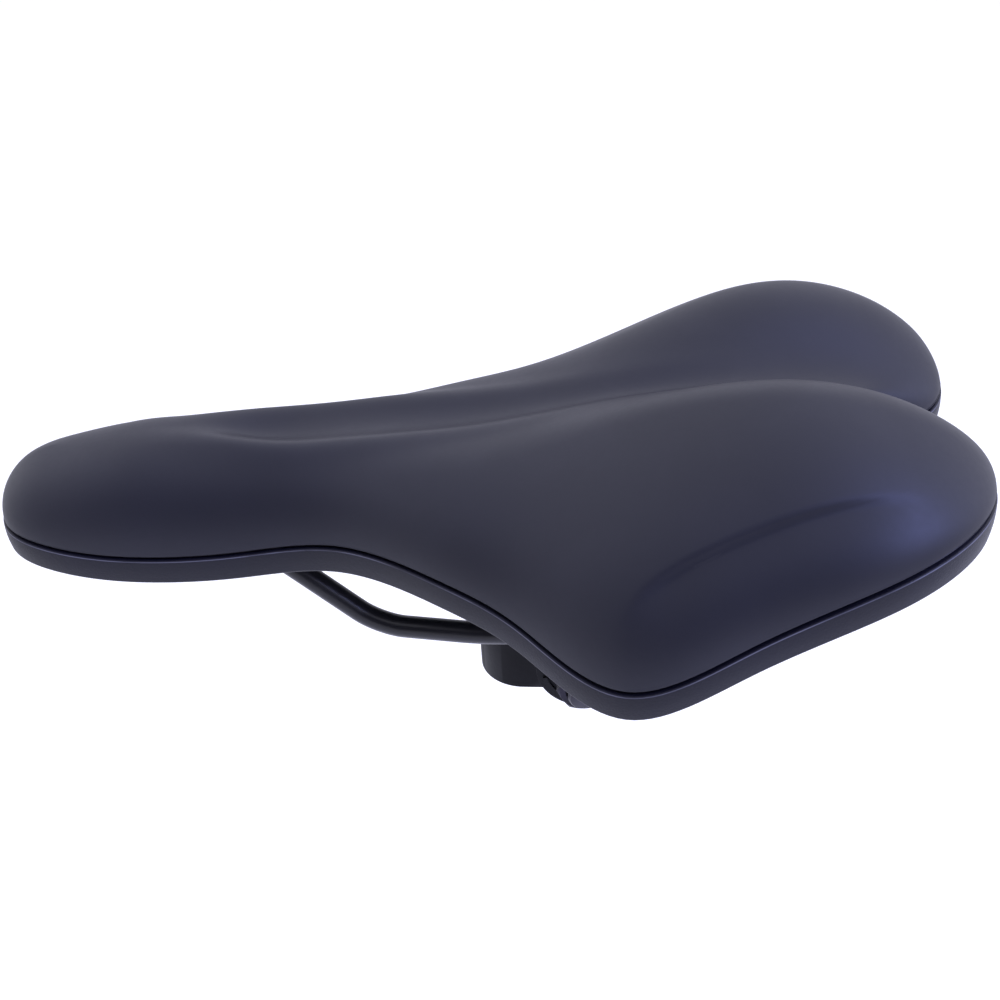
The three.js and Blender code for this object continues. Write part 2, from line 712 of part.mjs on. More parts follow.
function clamp() {
  const group = new THREE.Group();
  group.add(piece('clamp_band', bandGeometry(), clampSteel));
  group.add(piece('cross_bolt', boltGeometry(), zincSteel, boltBehindPost, 0, BOLT_ABOVE_BORE_CENTRE));
  for (const [side, turn] of [['right', 0], ['left', Math.PI]]) {
    const half = new THREE.Group();
    half.position.set(boltBehindPost, 0, BOLT_ABOVE_BORE_CENTRE);
    half.rotation.z = turn;
    half.add(piece(`inner_plate_${side}`, innerPlateGeometry(), clampSteel));
    half.add(piece(`outer_plate_${side}`, outerPlateGeometry(), clampSteel));
    half.add(piece(`washer_${side}`, washerGeometry(), zincSteel));
    half.add(piece(`nut_${side}`, nutGeometry(), zincSteel));
    group.add(half);
  }
  return group;
}

const saddle = new THREE.Group();
saddle.add(saddleTop(), clamp());

export default saddle;
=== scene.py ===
import math

import bmesh
import bpy
import numpy as np
from bpy.props import FloatProperty, FloatVectorProperty, IntProperty, PointerProperty
from mathutils import Matrix, Vector


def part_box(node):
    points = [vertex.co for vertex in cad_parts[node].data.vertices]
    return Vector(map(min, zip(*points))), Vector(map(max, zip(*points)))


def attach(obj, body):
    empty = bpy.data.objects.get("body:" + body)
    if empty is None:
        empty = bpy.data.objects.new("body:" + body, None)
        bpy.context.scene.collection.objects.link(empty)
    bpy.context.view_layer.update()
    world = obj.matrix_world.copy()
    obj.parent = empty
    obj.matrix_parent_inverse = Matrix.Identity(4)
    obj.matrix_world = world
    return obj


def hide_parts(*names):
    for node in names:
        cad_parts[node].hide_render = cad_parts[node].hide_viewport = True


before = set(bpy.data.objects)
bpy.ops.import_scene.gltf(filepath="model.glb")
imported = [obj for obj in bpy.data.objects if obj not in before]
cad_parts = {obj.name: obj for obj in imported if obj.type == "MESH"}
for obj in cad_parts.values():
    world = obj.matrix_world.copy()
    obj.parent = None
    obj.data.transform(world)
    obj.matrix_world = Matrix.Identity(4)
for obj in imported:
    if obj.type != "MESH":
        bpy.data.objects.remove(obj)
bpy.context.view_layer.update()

bl_info = {
    "name": "Bicycle Saddle",
    "version": (1, 0, 0),
    "blender": (4, 5, 0),
    "location": "View3D > Sidebar > Saddle",
    "description": "Builds a padded bicycle saddle, its rail and its seatpost clamp round a fixed frame",
    "category": "Add Mesh",
}

MM = 0.001


# Places and sizes, read from the frame

def span(node, axis):
    """The lowest and highest value of a node along an axis, 0 to 2."""
    low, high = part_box(node)
    return low[axis], high[axis]


def size(node, axis):
    low, high = span(node, axis)
    return high - low


NOSE_X, TAIL_X = span("cover", 0)
SADDLE_LENGTH = TAIL_X - NOSE_X
OUTLINE_SWING = 1.008  # the outline swings a little past its widest point
SADDLE_HALF_WIDTH = size("cover", 1) / 2 / OUTLINE_SWING
BOLT_X = sum(span("nut_right", 0)) / 2
BOLT_Z = sum(span("nut_right", 2)) / 2
BOLT_CENTRE = (BOLT_X, 0, BOLT_Z)
BAND_RADIUS = -span("clamp_band", 0)[0]
BAND_HALF_HEIGHT = -span("clamp_band", 2)[0]
RAIL_RADIUS = 3.5 * MM
RAIL_Z = span("rail", 2)[0] + RAIL_RADIUS
PLATE_SEAT_HEIGHT = 1 * MM
RAIL_Y = (span("inner_plate_right", 1)[0] + span("outer_plate_right", 1)[1] - PLATE_SEAT_HEIGHT) / 2
DATUM_OVER_RAIL = 40 * MM
DATUM_Z = RAIL_Z + DATUM_OVER_RAIL
PLATE_RADIUS = size("outer_plate_right", 0) / 2
BOLT_RADIUS = size("cross_bolt", 0) / 2
FIT_GAP = 0.3 * MM


# The seat's outline from nose tip to tail notch: share of the length, share of the half width,
# height of the seam above the datum plane in mm, share of the length where the skin line meets the spine
OUTLINE = (
    (0.000, 0.000, -4.5, 0.070),
    (0.010, 0.135, -5.0, 0.076),
    (0.048, 0.257, -6.5, 0.093),
    (0.142, 0.322, -9.0, 0.150),
    (0.270, 0.330, -7.5, 0.280),
    (0.390, 0.380, -2.0, 0.390),
    (0.500, 0.580, -2.5, 0.480),
    (0.580, 0.760, -7.0, 0.560),
    (0.672, 0.990, -11.5, 0.640),
    (0.783, 0.975, 3.5, 0.715),
    (0.897, 0.908, 19.0, 0.780),
    (0.972, 0.698, 24.5, 0.830),
    (1.000, 0.370, 22.0, 0.865),
    (0.976, 0.112, 19.0, 0.885),
    (0.928, 0.000, 15.5, 0.892),
)
LAST = len(OUTLINE) - 1

# Crown on the centre line: share of the length, height above the datum plane in mm
CROWN = (
    (0, 12), (0.08, 15.5), (0.17, 20), (0.26, 18.5), (0.38, 21), (0.52, 24.5),
    (0.69, 33), (0.86, 32.5), (1, 25),
)

# Cushions beside the relief channel: share of the length, rise over the crown and distance off centre in mm
CUSHIONS = (
    (0.14, 0, 9), (0.21, 1.3, 9.5), (0.28, 3.2, 12), (0.38, 2.8, 20),
    (0.52, 4.4, 29), (0.66, 8.8, 28.5), (0.79, 20.8, 36.5), (1, 18.5, 40),
)

# Relief channel: share of the length, half width to the lip in mm
CHANNEL = ((0.25, 9.6), (0.38, 10.0), (0.48, 9.4), (0.58, 8.2), (0.70, 7.5), (0.85, 8.5))

# Crease on each wing: it flares out at the front and then runs straight, closing in towards the tail
CREASE_FRONT = 0.67  # share of the length
CREASE_OFFSET = 70.5 * MM  # distance off centre at the front, without the flare
CREASE_SLANT = 0.115  # how much it closes in for each metre of length
CREASE_FLARE = 4.5 * MM
CREASE_FLARE_RUN = 5 * MM


def curve_through(points):
    """A smooth curve through points (at, value), straight at both ends, for arrays of places."""
    at = np.array([p[0] for p in points], float)
    value = np.array([p[1] for p in points], float)
    count = len(points)
    run = np.diff(at)
    grade = np.diff(value) / run
    pull = np.zeros((count, count))
    target = np.zeros(count)
    pull[0, :2] = 2, 1
    target[0] = 3 * grade[0]
    pull[-1, -2:] = 1, 2
    target[-1] = 3 * grade[-1]
    for i in range(1, count - 1):
        before, after = 1 / run[i - 1], 1 / run[i]
        pull[i, i - 1:i + 2] = before, 2 * (before + after), after
        target[i] = 3 * (grade[i - 1] * before + grade[i] * after)
    slope = np.linalg.solve(pull, target)

    def curve(places):
        places = np.clip(places, at[0], at[-1])
        i = np.clip(np.searchsorted(at, places) - 1, 0, count - 2)
        s = (places - at[i]) / run[i]
        rise = value[i + 1] - value[i]
        bow = (slope[i] * run[i] - rise) * (1 - s) - (slope[i + 1] * run[i] - rise) * s
        return value[i] + rise * s + s * (1 - s) * bow

    return curve


def outline_curve(column, scale, mirror_sign):
    """A curve over the outline's points, mirrored past both ends so that the loop closes smoothly."""
    points = []
    for i in range(-3, LAST + 4):
        folded = -i if i < 0 else 2 * LAST - i if i > LAST else i
        points.append((i, OUTLINE[folded][column] * scale * (1 if folded == i else mirror_sign)))
    return curve_through(points)


along_at = outline_curve(0, SADDLE_LENGTH, 1)
across_at = outline_curve(1, SADDLE_HALF_WIDTH, -1)
seam_at = outline_curve(2, MM, 1)
spine_at = outline_curve(3, SADDLE_LENGTH, 1)
crown_at = curve_through([(x * SADDLE_LENGTH, z * MM) for x, z in CROWN])
cushion_rise_at = curve_through([(x * SADDLE_LENGTH, rise * MM) for x, rise, _ in CUSHIONS])
cushion_offset_at = curve_through([(x * SADDLE_LENGTH, off * MM) for x, _, off in CUSHIONS])
channel_half_at = curve_through([(x * SADDLE_LENGTH, half * MM) for x, half in CHANNEL])


def crease_at(x):
    """Distance of the wing's crease off centre."""
    run = np.maximum(x - CREASE_FRONT * SADDLE_LENGTH, 0)
    return CREASE_OFFSET - CREASE_SLANT * run + CREASE_FLARE * np.exp(-run / CREASE_FLARE_RUN)


def smooth(s):
    s = np.clip(s, 0, 1)
    return s * s * (3 - 2 * s)


class Loop:
    """The seam loop sampled all round, from the nose along the rider's right and back along the left."""

    def __init__(self, count):
        station = np.arange(count) * 2 * LAST / count
        right = station <= LAST
        t = np.where(right, station, 2 * LAST - station)
        step = 0.01
        dx = along_at(t + step) - along_at(t - step)
        dy = across_at(t + step) - across_at(t - step)
        length = np.hypot(dx, dy)
        side = np.where(right, 1.0, -1.0)
        self.x = along_at(t)
        self.y = across_at(t) * side
        self.out = np.stack([-dy / length, dx / length * side], axis=1)
        self.seam = seam_at(t)
        self.spine = spine_at(t)

    def rim(self, inset):
        return self.x - self.out[:, 0] * inset, self.y - self.out[:, 1] * inset

    def at(self, inset, height):
        """The loop moved inwards and up from the seam, as rows of points in the frame."""
        x, y = self.rim(inset)
        return self.place(x, y, self.seam + height)

    def row(self, inset, reach, surface):
        """Points a share of the way from the spine, 0, to the rim, 1, on a surface."""
        rim_x, rim_y = self.rim(inset)
        x = rim_x * reach + self.spine * (1 - reach)
        y = rim_y * reach
        return self.place(x, y, surface(x, y, reach, self.seam))

    @staticmethod
    def place(x, y, z):
        return np.stack([x + NOSE_X, y, z + DATUM_Z], axis=1)


NOSE_SHOULDER = 2.2
SHOULDER_FALL = 0.55  # how much squarer the nose's shoulders are than the wings'
SHOULDER_START = 0.31  # share of the length where the fall begins; it ends at twice that
SKIRT_FULLNESS = 1.9
DOME_SHARE = 0.42  # the base's dome over the seam, as a share of the pad's crown


def pad_surface(drop, look=None):
    """Height of the pad's surface, a drop below its skin; look adds the channel and its lips."""

    def surface(x, y, reach, seam):
        share = x / SADDLE_LENGTH
        across = np.abs(y)
        cushion = cushion_rise_at(x) * smooth(across / cushion_offset_at(x))
        shoulder = NOSE_SHOULDER - SHOULDER_FALL * smooth(share / SHOULDER_START - 1)
        roundness = np.power(np.clip(1 - np.power(reach, shoulder), 0, 1), 1 / SKIRT_FULLNESS)
        z = seam + (crown_at(x) + cushion - drop - seam) * roundness
        if look is not None:
            z = z + look(x, across, roundness)
        return z

    return surface


def base_surface(drop, sink):
    """Height of the base's dome under the pad."""

    def surface(x, y, reach, seam):
        return seam + (DOME_SHARE * (crown_at(x) - seam) - drop) * (1 - reach * reach) - sink

    return surface


# Meshes

def mesh_object(name, points, faces):
    """A new mesh object from points in metres and faces of any number of sides."""
    mesh = bpy.data.meshes.new(name)
    mesh.from_pydata([tuple(p) for p in points], [], [tuple(f) for f in faces])
    built = bmesh.new()
    built.from_mesh(mesh)
    bmesh.ops.remove_doubles(built, verts=built.verts, dist=1e-6)
    bmesh.ops.recalc_face_normals(built, faces=built.faces)
    built.to_mesh(mesh)
    built.free()
    mesh.polygons.foreach_set("use_smooth", [True] * len(mesh.polygons))
    piece = bpy.data.objects.new(name, mesh)
    bpy.context.scene.collection.objects.link(piece)
    return piece


def lofted(name, rows, wrap=False, caps=False):
    """A mesh through rows of points, each row a closed loop; wrap joins the last row to the first."""
    points = np.concatenate(rows)
    count = len(rows[0])
    faces = []
    pairs = list(range(len(rows) - 1)) + ([len(rows) - 1] if wrap else [])
    for j in pairs:
        k = (j + 1) % len(rows)
        for i in range(count):
            n = (i + 1) % count
            faces.append((j * count + i, j * count + n, k * count + n, k * count + i))
    if caps:
        faces.append(tuple(range(count)))
        faces.append(tuple((len(rows) - 1) * count + i for i in reversed(range(count))))
    return mesh_object(name, points, faces)


def turned(name, profile, sides, axis="z", centre=(0, 0, 0)):
    """A profile of (radius, height) turned round Z or Y; a profile off the axis closes on itself."""
    angle = np.arange(sides) * 2 * math.pi / sides
    open_ends = abs(profile[0][0]) < 1e-9 and abs(profile[-1][0]) < 1e-9
    rows = []
    for radius, height in profile:
        ring = np.stack([radius * np.cos(angle), radius * np.sin(angle), np.full(sides, height)], axis=1)
        if axis == "y":
            ring = ring[:, [1, 2, 0]]
        rows.append(ring + np.array(centre))
    return lofted(name, rows, wrap=not open_ends)


def swept(name, path, radius_at, sides):
    """A round rod along a path of points; radius_at gives the radius at a share of the way."""
    tangent = np.gradient(path, axis=0)
    tangent /= np.linalg.norm(tangent, axis=1)[:, None]
    normal = np.cross(tangent[0], (0.0, 0.0, 1.0))
    normal /= np.linalg.norm(normal)
    angle = np.arange(sides) * 2 * math.pi / sides
    rows = []
    for i, (point, along) in enumerate(zip(path, tangent)):
        normal = normal - along * normal.dot(along)
        normal /= np.linalg.norm(normal)
        beside = np.cross(along, normal)
        radius = radius_at(i / (len(path) - 1))
        rows.append(point + radius * (np.outer(np.cos(angle), normal) + np.outer(np.sin(angle), beside)))
    return lofted(name, rows, caps=True)


def slab(name, outline, low, high):
    """A flat outline drawn in X and Z and given thickness along Y."""
    outline = np.array(outline, float)
    rows = []
    for level in (low, high):
        rows.append(np.stack([outline[:, 0], np.full(len(outline), level), outline[:, 1]], axis=1))
    return lofted(name, rows, caps=True)


def arc(centre, radius, start, end, steps):
    """Points on an arc, angles in degrees."""
    angle = np.radians(np.linspace(start, end, steps))
    return [(centre[0] + radius * math.cos(a), centre[1] + radius * math.sin(a)) for a in angle]


def combine(piece, other, operation):
    """Joins, cuts or keeps what two solids share, and removes the second."""
    change = piece.modifiers.new(operation.lower(), "BOOLEAN")
    change.operation = operation
    change.solver = "MANIFOLD"
    change.object = other
    apply_modifiers(piece)
    bpy.data.objects.remove(other, do_unlink=True)
    return piece


def apply_modifiers(piece):
    """Makes what the modifiers show the piece's own mesh."""
    bpy.context.view_layer.update()
    shown = piece.evaluated_get(bpy.context.evaluated_depsgraph_get())
    mesh = bpy.data.meshes.new_from_object(shown)
    piece.modifiers.clear()
    old = piece.data
    piece.data = mesh
    bpy.data.meshes.remove(old)


def rounded(piece, width, segments=3, angle=35):
    """Rounds the sharp edges and shades the piece smoothly between them."""
    built = bmesh.new()
    built.from_mesh(piece.data)
    bmesh.ops.remove_doubles(built, verts=built.verts, dist=2e-6)
    bmesh.ops.dissolve_limit(built, angle_limit=math.radians(0.5), verts=built.verts, edges=built.edges)
    built.to_mesh(piece.data)
    built.free()
    bevel = piece.modifiers.new("edges", "BEVEL")
    bevel.width = width
    bevel.segments = segments
    bevel.limit_method = "ANGLE"
    bevel.angle_limit = math.radians(angle)
    bevel.miter_outer = "MITER_ARC"
    bevel.harden_normals = True
    weigh = piece.modifiers.new("normals", "WEIGHTED_NORMAL")
    weigh.keep_sharp = True
    piece.data.polygons.foreach_set("use_smooth", [True] * len(piece.data.polygons))
    apply_modifiers(piece)
    return piece


def mirrored(piece, name):
    """A copy of a piece on the other side of the saddle."""
    copy = piece.copy()
    copy.data = piece.data.copy()
    copy.name = name
    copy.data.name = name
    copy.data.transform(Matrix.Scale(-1, 4, (0, 1, 0)))
    copy.data.flip_normals()
    bpy.context.scene.collection.objects.link(copy)
    return copy


def merged(name, pieces):
    """One object from several, their meshes side by side."""
    built = bmesh.new()
    for piece in pieces:
        piece.data.transform(piece.matrix_world)
        built.from_mesh(piece.data)
        bpy.data.objects.remove(piece, do_unlink=True)
    mesh = bpy.data.meshes.new(name)
    built.to_mesh(mesh)
    built.free()
    whole = bpy.data.objects.new(name, mesh)
    bpy.context.scene.collection.objects.link(whole)
    return whole


def fitted(piece, body, slot, material, *nodes):
    """Gives a piece its finish and its body, and hides the frame's nodes that it stands for."""
    piece.data.materials.clear()
    piece.data.materials.append(material)
    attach(piece, body)
    if nodes:
        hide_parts(*nodes)
    return piece


# Shader expressions

class Socket:
    """A shader value that takes part in Python sums; each operation adds its node."""

    def __init__(self, shader, socket):
        self.shader = shader
        self.socket = socket

    def math(self, operation, *values):
        return self.shader.node("ShaderNodeMath", {"operation": operation}, dict(enumerate((self, *values))))

    def __add__(self, other):
        return self.math("ADD", other)

    def __radd__(self, other):
        return self.math("ADD", other)

    def __sub__(self, other):
        return self.math("SUBTRACT", other)

    def __rsub__(self, other):
        return self.shader.node("ShaderNodeMath", {"operation": "SUBTRACT"}, {0: other, 1: self})

    def __mul__(self, other):
        return self.math("MULTIPLY", other)

    def __rmul__(self, other):
        return self.math("MULTIPLY", other)

    def clamp(self):
        return self.shader.node("ShaderNodeClamp", {}, {"Value": self})


class Shader:
    """A new material and its nodes."""

    def __init__(self, name, **constants):
        self.material = bpy.data.materials.new(name)
        self.material.use_nodes = True
        self.tree = self.material.node_tree
        self.surface = self.tree.nodes["Principled BSDF"]
        for socket, value in constants.items():
            self.surface.inputs[socket.replace("_", " ")].default_value = value

    def node(self, kind, settings, values, output=0):
        """Adds a node: its settings first, then the values or links of its sockets."""
        made = self.tree.nodes.new(kind)
        for key, value in settings.items():
            setattr(made, key, value)
        for key, value in values.items():
            if isinstance(value, Socket):
                self.tree.links.new(value.socket, made.inputs[key])
            else:
                made.inputs[key].default_value = value
        return Socket(self, made.outputs[output])

    def coordinates(self):
        return self.node("ShaderNodeTexCoord", {}, {}, "Object")

    def geometry(self, output):
        return self.node("ShaderNodeNewGeometry", {}, {}, output)

    def along(self, vector, part):
        return self.node("ShaderNodeSeparateXYZ", {}, {0: vector}, part)

    def noise(self, scale, detail=3.0, roughness=0.5, distortion=0.0, where=None):
        values = {"Vector": where or self.coordinates(), "Scale": scale, "Detail": detail}
        values.update({"Roughness": roughness, "Distortion": distortion})
        return self.node("ShaderNodeTexNoise", {}, values, 0)

    def cells(self, scale):
        return self.node("ShaderNodeTexVoronoi", {}, {"Vector": self.coordinates(), "Scale": scale})

    def stretch(self, vector, scale):
        return self.node("ShaderNodeMapping", {}, {"Vector": vector, "Scale": scale})

    def range(self, value, low, high, to_low=0.0, to_high=1.0):
        values = {"Value": value, "From Min": low, "From Max": high, "To Min": to_low, "To Max": to_high}
        return self.node("ShaderNodeMapRange", {"interpolation_type": "SMOOTHSTEP"}, values)

    def mix(self, factor, first, second):
        values = {"Factor": factor, 6: self.colour(first), 7: self.colour(second)}
        return self.node("ShaderNodeMix", {"data_type": "RGBA"}, values, 2)

    @staticmethod
    def colour(value):
        return value if isinstance(value, Socket) else (*value[:3], 1)

    def bump(self, height, strength, distance, under=None):
        values = {"Height": height, "Strength": strength, "Distance": distance}
        if under is not None:
            values["Normal"] = under
        return self.node("ShaderNodeBump", {}, values)

    def set(self, **links):
        for socket, value in links.items():
            self.tree.links.new(value.socket, self.surface.inputs[socket.replace("_", " ")])
        return self.material


# Finishes

def skin_finish(settings):
    """Smooth satin polyurethane skin, faintly clouded, with a very fine orange peel."""
    s = Shader("moulded skin", Specular_IOR_Level=0.44, Specular_Tint=(0.86, 0.87, 1.0, 1))
    cloud = s.noise(14, 4, 0.55)
    pores = s.cells(2600)
    peel = s.noise(620, 2, 0.5)
    rubbed = s.range(s.noise(38, 5, 0.6, 0.4), 0.42, 0.72)
    shade = s.mix(s.range(cloud, 0.3, 0.7), settings.colour, [c * 1.18 for c in settings.colour])
    shade = s.mix(rubbed * 0.35, shade, [c * 1.5 for c in settings.colour])
    rough = settings.roughness + (cloud - 0.5) * 0.10 + (peel - 0.5) * 0.06 - rubbed * 0.03
    fine = s.bump(pores, 0.05, 0.00008)
    soft = s.bump(peel, 0.06, 0.0002, fine)
    return s.set(Base_Color=shade, Roughness=rough.clamp(), Normal=s.bump(cloud, 0.08, 0.0012, soft))


def foam_finish(colour):
    """Open-cell foam: round pores of several sizes with painted shade in the large ones, yellowed in patches.
    """
    s = Shader("open-cell foam", Specular_IOR_Level=0.2)
    large = s.range(s.cells(900), 0.05, 0.45)
    small = s.range(s.cells(2200), 0.05, 0.5)
    patch = s.noise(30, 3, 0.6)
    shade = s.mix(patch, colour, [c * k for c, k in zip(colour, (0.82, 0.76, 0.62))])
    # The large pores are painted darker: painted shade inside the holes.
    shade = s.mix((1 - large) * 0.6, shade, [c * 0.35 for c in colour])
    depth = s.bump(large, 0.6, 0.0005, s.bump(small, 0.4, 0.0002))
    return s.set(Base_Color=shade, Roughness=0.88 + patch * 0.1, Normal=depth)


def moulded_finish(name, colour, roughness, grain_scale, grain_depth, rubbed=(0.02, 0.02, 0.03)):
    """Moulded plastic with a spark-eroded grain, and a painted highlight in the colour rubbed on its
    upward-facing edges.
    """
    s = Shader(name, Specular_IOR_Level=0.3)
    grain = s.noise(grain_scale, 3, 0.65)
    pits = s.cells(grain_scale * 1.7)
    flow = s.noise(22, 4, 0.5, 1.2)
    # Painted highlight: edges whose normals face up are painted in the colour rubbed, standing in for light
    # from above, patchy with the flow noise.
    upward = s.along(s.geometry("Normal"), "Z")
    edge = s.range(upward, 0.15, 0.4) * s.range(upward, 0.5, 0.75, 1, 0) * s.range(flow, 0.2, 0.6)
    shade = s.mix(s.range(flow, 0.35, 0.7), colour, [c * 1.3 for c in colour])
    shade = s.mix(edge, shade, rubbed)
    rough = roughness + (flow - 0.5) * 0.14 - edge * 0.08 + (grain - 0.5) * 0.08
    relief = s.bump(pits, 0.25, grain_depth * 0.5, s.bump(grain, 0.5, grain_depth))
    return s.set(Base_Color=shade, Roughness=rough.clamp(), Normal=relief)


def powder_finish(name, colour, roughness, peel_scale=420, gloss=0.2, coat=0.05):
    """Powder coat on steel: orange peel, dust-dull patches, and a slight polish on rubbed edges."""
    s = Shader(name, Specular_IOR_Level=gloss, Coat_Roughness=0.25)
    peel = s.noise(peel_scale, 3, 0.45)
    dull = s.noise(26, 4, 0.6, 0.6)
    specks = s.range(s.cells(1900), 0.0, 0.12, 1, 0)
    edge = s.range(s.geometry("Pointiness"), 0.52, 0.6)
    shade = s.mix(s.range(dull, 0.35, 0.75), colour, [c * 1.45 for c in colour])
    shade = s.mix(specks * 0.35, shade, [c * 3 + 0.01 for c in colour])
    shade = s.mix(edge * 0.5, shade, [c * 2.5 + 0.012 for c in colour])
    rough = roughness + (dull - 0.5) * 0.2 - edge * 0.1
    film = coat + (0.5 - dull) * 0.2
    relief = s.bump(peel, 0.18, 0.0004)
    return s.set(Base_Color=shade, Roughness=rough.clamp(), Coat_Weight=film.clamp(), Normal=relief)


def plated_finish(name, colour, roughness):
    """Black-zinc plated steel: turning marks, clouded passivation and bright rubbed edges."""
    s = Shader(name, Specular_IOR_Level=0.5)
    where = s.coordinates()
    marks = s.noise(240, 4, 0.6, 0, s.stretch(where, (1, 14, 1)))
    cloud = s.noise(90, 4, 0.65, 0.5, where)
    edge = s.range(s.geometry("Pointiness"), 0.52, 0.62)
    shade = s.mix(s.range(cloud, 0.3, 0.75), colour, [c * k for c, k in zip(colour, (1.5, 1.45, 1.8))])
    shade = s.mix(edge * 0.6, shade, (0.20, 0.20, 0.22))
    rough = roughness + (marks - 0.5) * 0.2 + (cloud - 0.5) * 0.12
    metal = 0.75 + edge * 0.25
    relief = s.bump(marks, 0.15, 0.0001)
    return s.set(Base_Color=shade, Roughness=rough.clamp(), Metallic=metal, Normal=relief)


def floor_finish():
    """Pale seamless paper, barely mottled, lit from behind like a light table."""
    s = Shader("pale floor", Roughness=0.9, Specular_IOR_Level=0.15, Emission_Color=(1, 1, 1, 1),
               Emission_Strength=0.15)
    mottle = s.noise(3, 3, 0.5)
    return s.set(Base_Color=s.mix(mottle, (0.86, 0.86, 0.87), (0.89, 0.89, 0.90)))


# Sizes and colours that a user may change

def length_setting(name, description, default):
    return FloatProperty(name=name, description=description, default=default, unit="LENGTH")


def angle_setting(name, description, degrees):
    return FloatProperty(name=name, description=description, default=math.radians(degrees), subtype="ANGLE")


def colour_setting(name, description, default):
    return FloatVectorProperty(name=name, description=description, subtype="COLOR", size=3, min=0, max=1,
                               default=default)


class CoverSettings(bpy.types.PropertyGroup):
    colour: colour_setting("Skin colour", "Base colour of the moulded skin", (0.007, 0.007, 0.012))
    roughness: FloatProperty(
        name="Skin roughness", description="How matt the skin is", min=0, max=1, default=0.52,
        subtype="FACTOR")
    thickness: length_setting("Skin thickness", "Wall of the moulded skin", 1.4 * MM)
    lip_rise: length_setting("Channel lip", "How far the lips stand up beside the relief channel", 1.9 * MM)
    channel_depth: length_setting(
        "Channel depth", "How much deeper the channel runs than the pad's plain crown", 2.0 * MM)
    channel_start: length_setting(
        "Channel start", "From the nose tip to where the channel reaches its full width", 102 * MM)
    channel_front: length_setting(
        "Channel front", "Length over which the channel's front end rounds off", 26 * MM)
    crease_depth: length_setting("Crease depth", "Step down across the crease on each wing", 1.3 * MM)
    crease_width: length_setting("Crease width", "Width over which the crease steps down", 1.7 * MM)
    crease_reach: length_setting("Crease reach", "How far below the crease the skin stays hollow", 13 * MM)
    stations: IntProperty(name="Stations", description="Points round the seam loop", default=420, min=84)
    rows: IntProperty(name="Rows", description="Rows from spine to seam", default=84, min=8)


class FoamSettings(bpy.types.PropertyGroup):
    colour: colour_setting("Foam colour", "Base colour of the foam", (0.62, 0.50, 0.24))
    gap: length_setting("Gap", "Between the foam and the skin over it", 0.3 * MM)


class TrimSettings(bpy.types.PropertyGroup):
    colour: colour_setting("Trim colour", "Base colour of the edge trim", (0.005, 0.005, 0.012))
    # The lip colour is a painted highlight on the trim's upward-facing upper edge, standing in for light from
    # above.
    lip_highlight_colour: colour_setting("Lip colour", "Colour of the trim's rubbed upper edge", (0.12, 0.12, 0.16))
    seam_gap: length_setting("Seam gap", "Open line between cover and trim", 0.9 * MM)
    height: length_setting("Height", "Height of the band", 8.4 * MM)
    wall: length_setting("Wall", "Thickness of the band", 2.4 * MM)
    flange: length_setting("Flange", "Reach of the flange in from the seam loop", 9.2 * MM)
    lip_radius: length_setting("Lip radius", "Rounding of the band's upper edge", 0.6 * MM)


class BaseSettings(bpy.types.PropertyGroup):
    colour: colour_setting("Base colour", "Base colour of the moulded base", (0.013, 0.013, 0.016))
    thickness: length_setting("Thickness", "Wall of the base", 3 * MM)
    rib_depth: length_setting("Rib depth", "How far the ribs hang", 6 * MM)
    rib_thickness: length_setting("Rib wall", "Thickness of a rib", 2.4 * MM)


class RailSettings(bpy.types.PropertyGroup):
    colour: colour_setting("Rail colour", "Base colour of the powder coat", (0.009, 0.009, 0.013))
    loop: length_setting("Nose loop", "Across the rod's centres at the nose", 18 * MM)
    nose_drop: length_setting("Nose drop", "Nose loop below the datum plane", 8 * MM)
    tail_rise: length_setting("Tail rise", "Rod ends above the datum plane", 10 * MM)
    tail_spacing: length_setting("Tail spacing", "Across the rod's ends", 62 * MM)
    tail_setback: length_setting("Tail setback", "Rod ends ahead of the tail", 28 * MM)


class ClampSettings(bpy.types.PropertyGroup):
    colour: colour_setting("Clamp colour", "Base colour of the coated clamp", (0.006, 0.006, 0.008))
    wall: length_setting("Band wall", "Thickness of the band", 3.8 * MM)
    slit: length_setting("Slit", "Width of the band's slit", 9 * MM)
    plate_wall: length_setting("Plate wall", "Thickness of a plate", 3 * MM)


class FastenerSettings(bpy.types.PropertyGroup):
    colour: colour_setting("Plating colour", "Base colour of the plated steel", (0.016, 0.015, 0.020))
    pitch: length_setting("Bolt pitch", "Thread pitch of the cross bolt", 1.25 * MM)
    screw_pitch: length_setting("Screw pitch", "Thread pitch of the trim screws", 1.3 * MM)
    recess: length_setting("Recess", "Across the trim screws' cross recess", 4 * MM)


class StageSettings(bpy.types.PropertyGroup):
    azimuth: angle_setting("Azimuth", "Camera's turn round the saddle from its left side", 6.5)
    elevation: angle_setting("Elevation", "Camera's height over the saddle", 32.3)
    roll: angle_setting("Roll", "Camera's roll", -3.56)
    distance: length_setting("Distance", "Camera to the point it looks at", 0.347)
    aim_right: length_setting("Aim right", "Point looked at, right of the saddle's middle", 13.09 * MM)
    aim_down: length_setting("Aim down", "Point looked at, below the saddle's middle", 13.12 * MM)
    lens: FloatProperty(name="Lens", description="Focal length over a 36 mm frame, in mm", default=41.5)
    floor_drop: length_setting("Floor drop", "Floor below the clamp, as the post holds the saddle up", 0.45)


# Cover and foam

def cover_look(settings):
    """The relief channel and its lips, over the pad's plain shape."""
    lip_place = 1.3  # in half widths of the channel
    lip_spread = 0.5
    channel_end, channel_fade = 0.68, 0.18  # shares of the length
    lip_end, lip_fade = 0.40, 0.30

    def look(x, across, roundness):
        share = x / SADDLE_LENGTH
        ahead = np.clip(settings.channel_start - x, 0, None) / settings.channel_front
        out = np.hypot(across / channel_half_at(x), ahead)
        hollow = (1 - smooth(out / lip_place)) * (1 - smooth((share - channel_end) / channel_fade))
        crest = np.exp(-((out - lip_place) / lip_spread) ** 2) * (1 - smooth((share - lip_end) / lip_fade))
        return (settings.lip_rise * crest - settings.channel_depth * hollow) * roundness

    return look


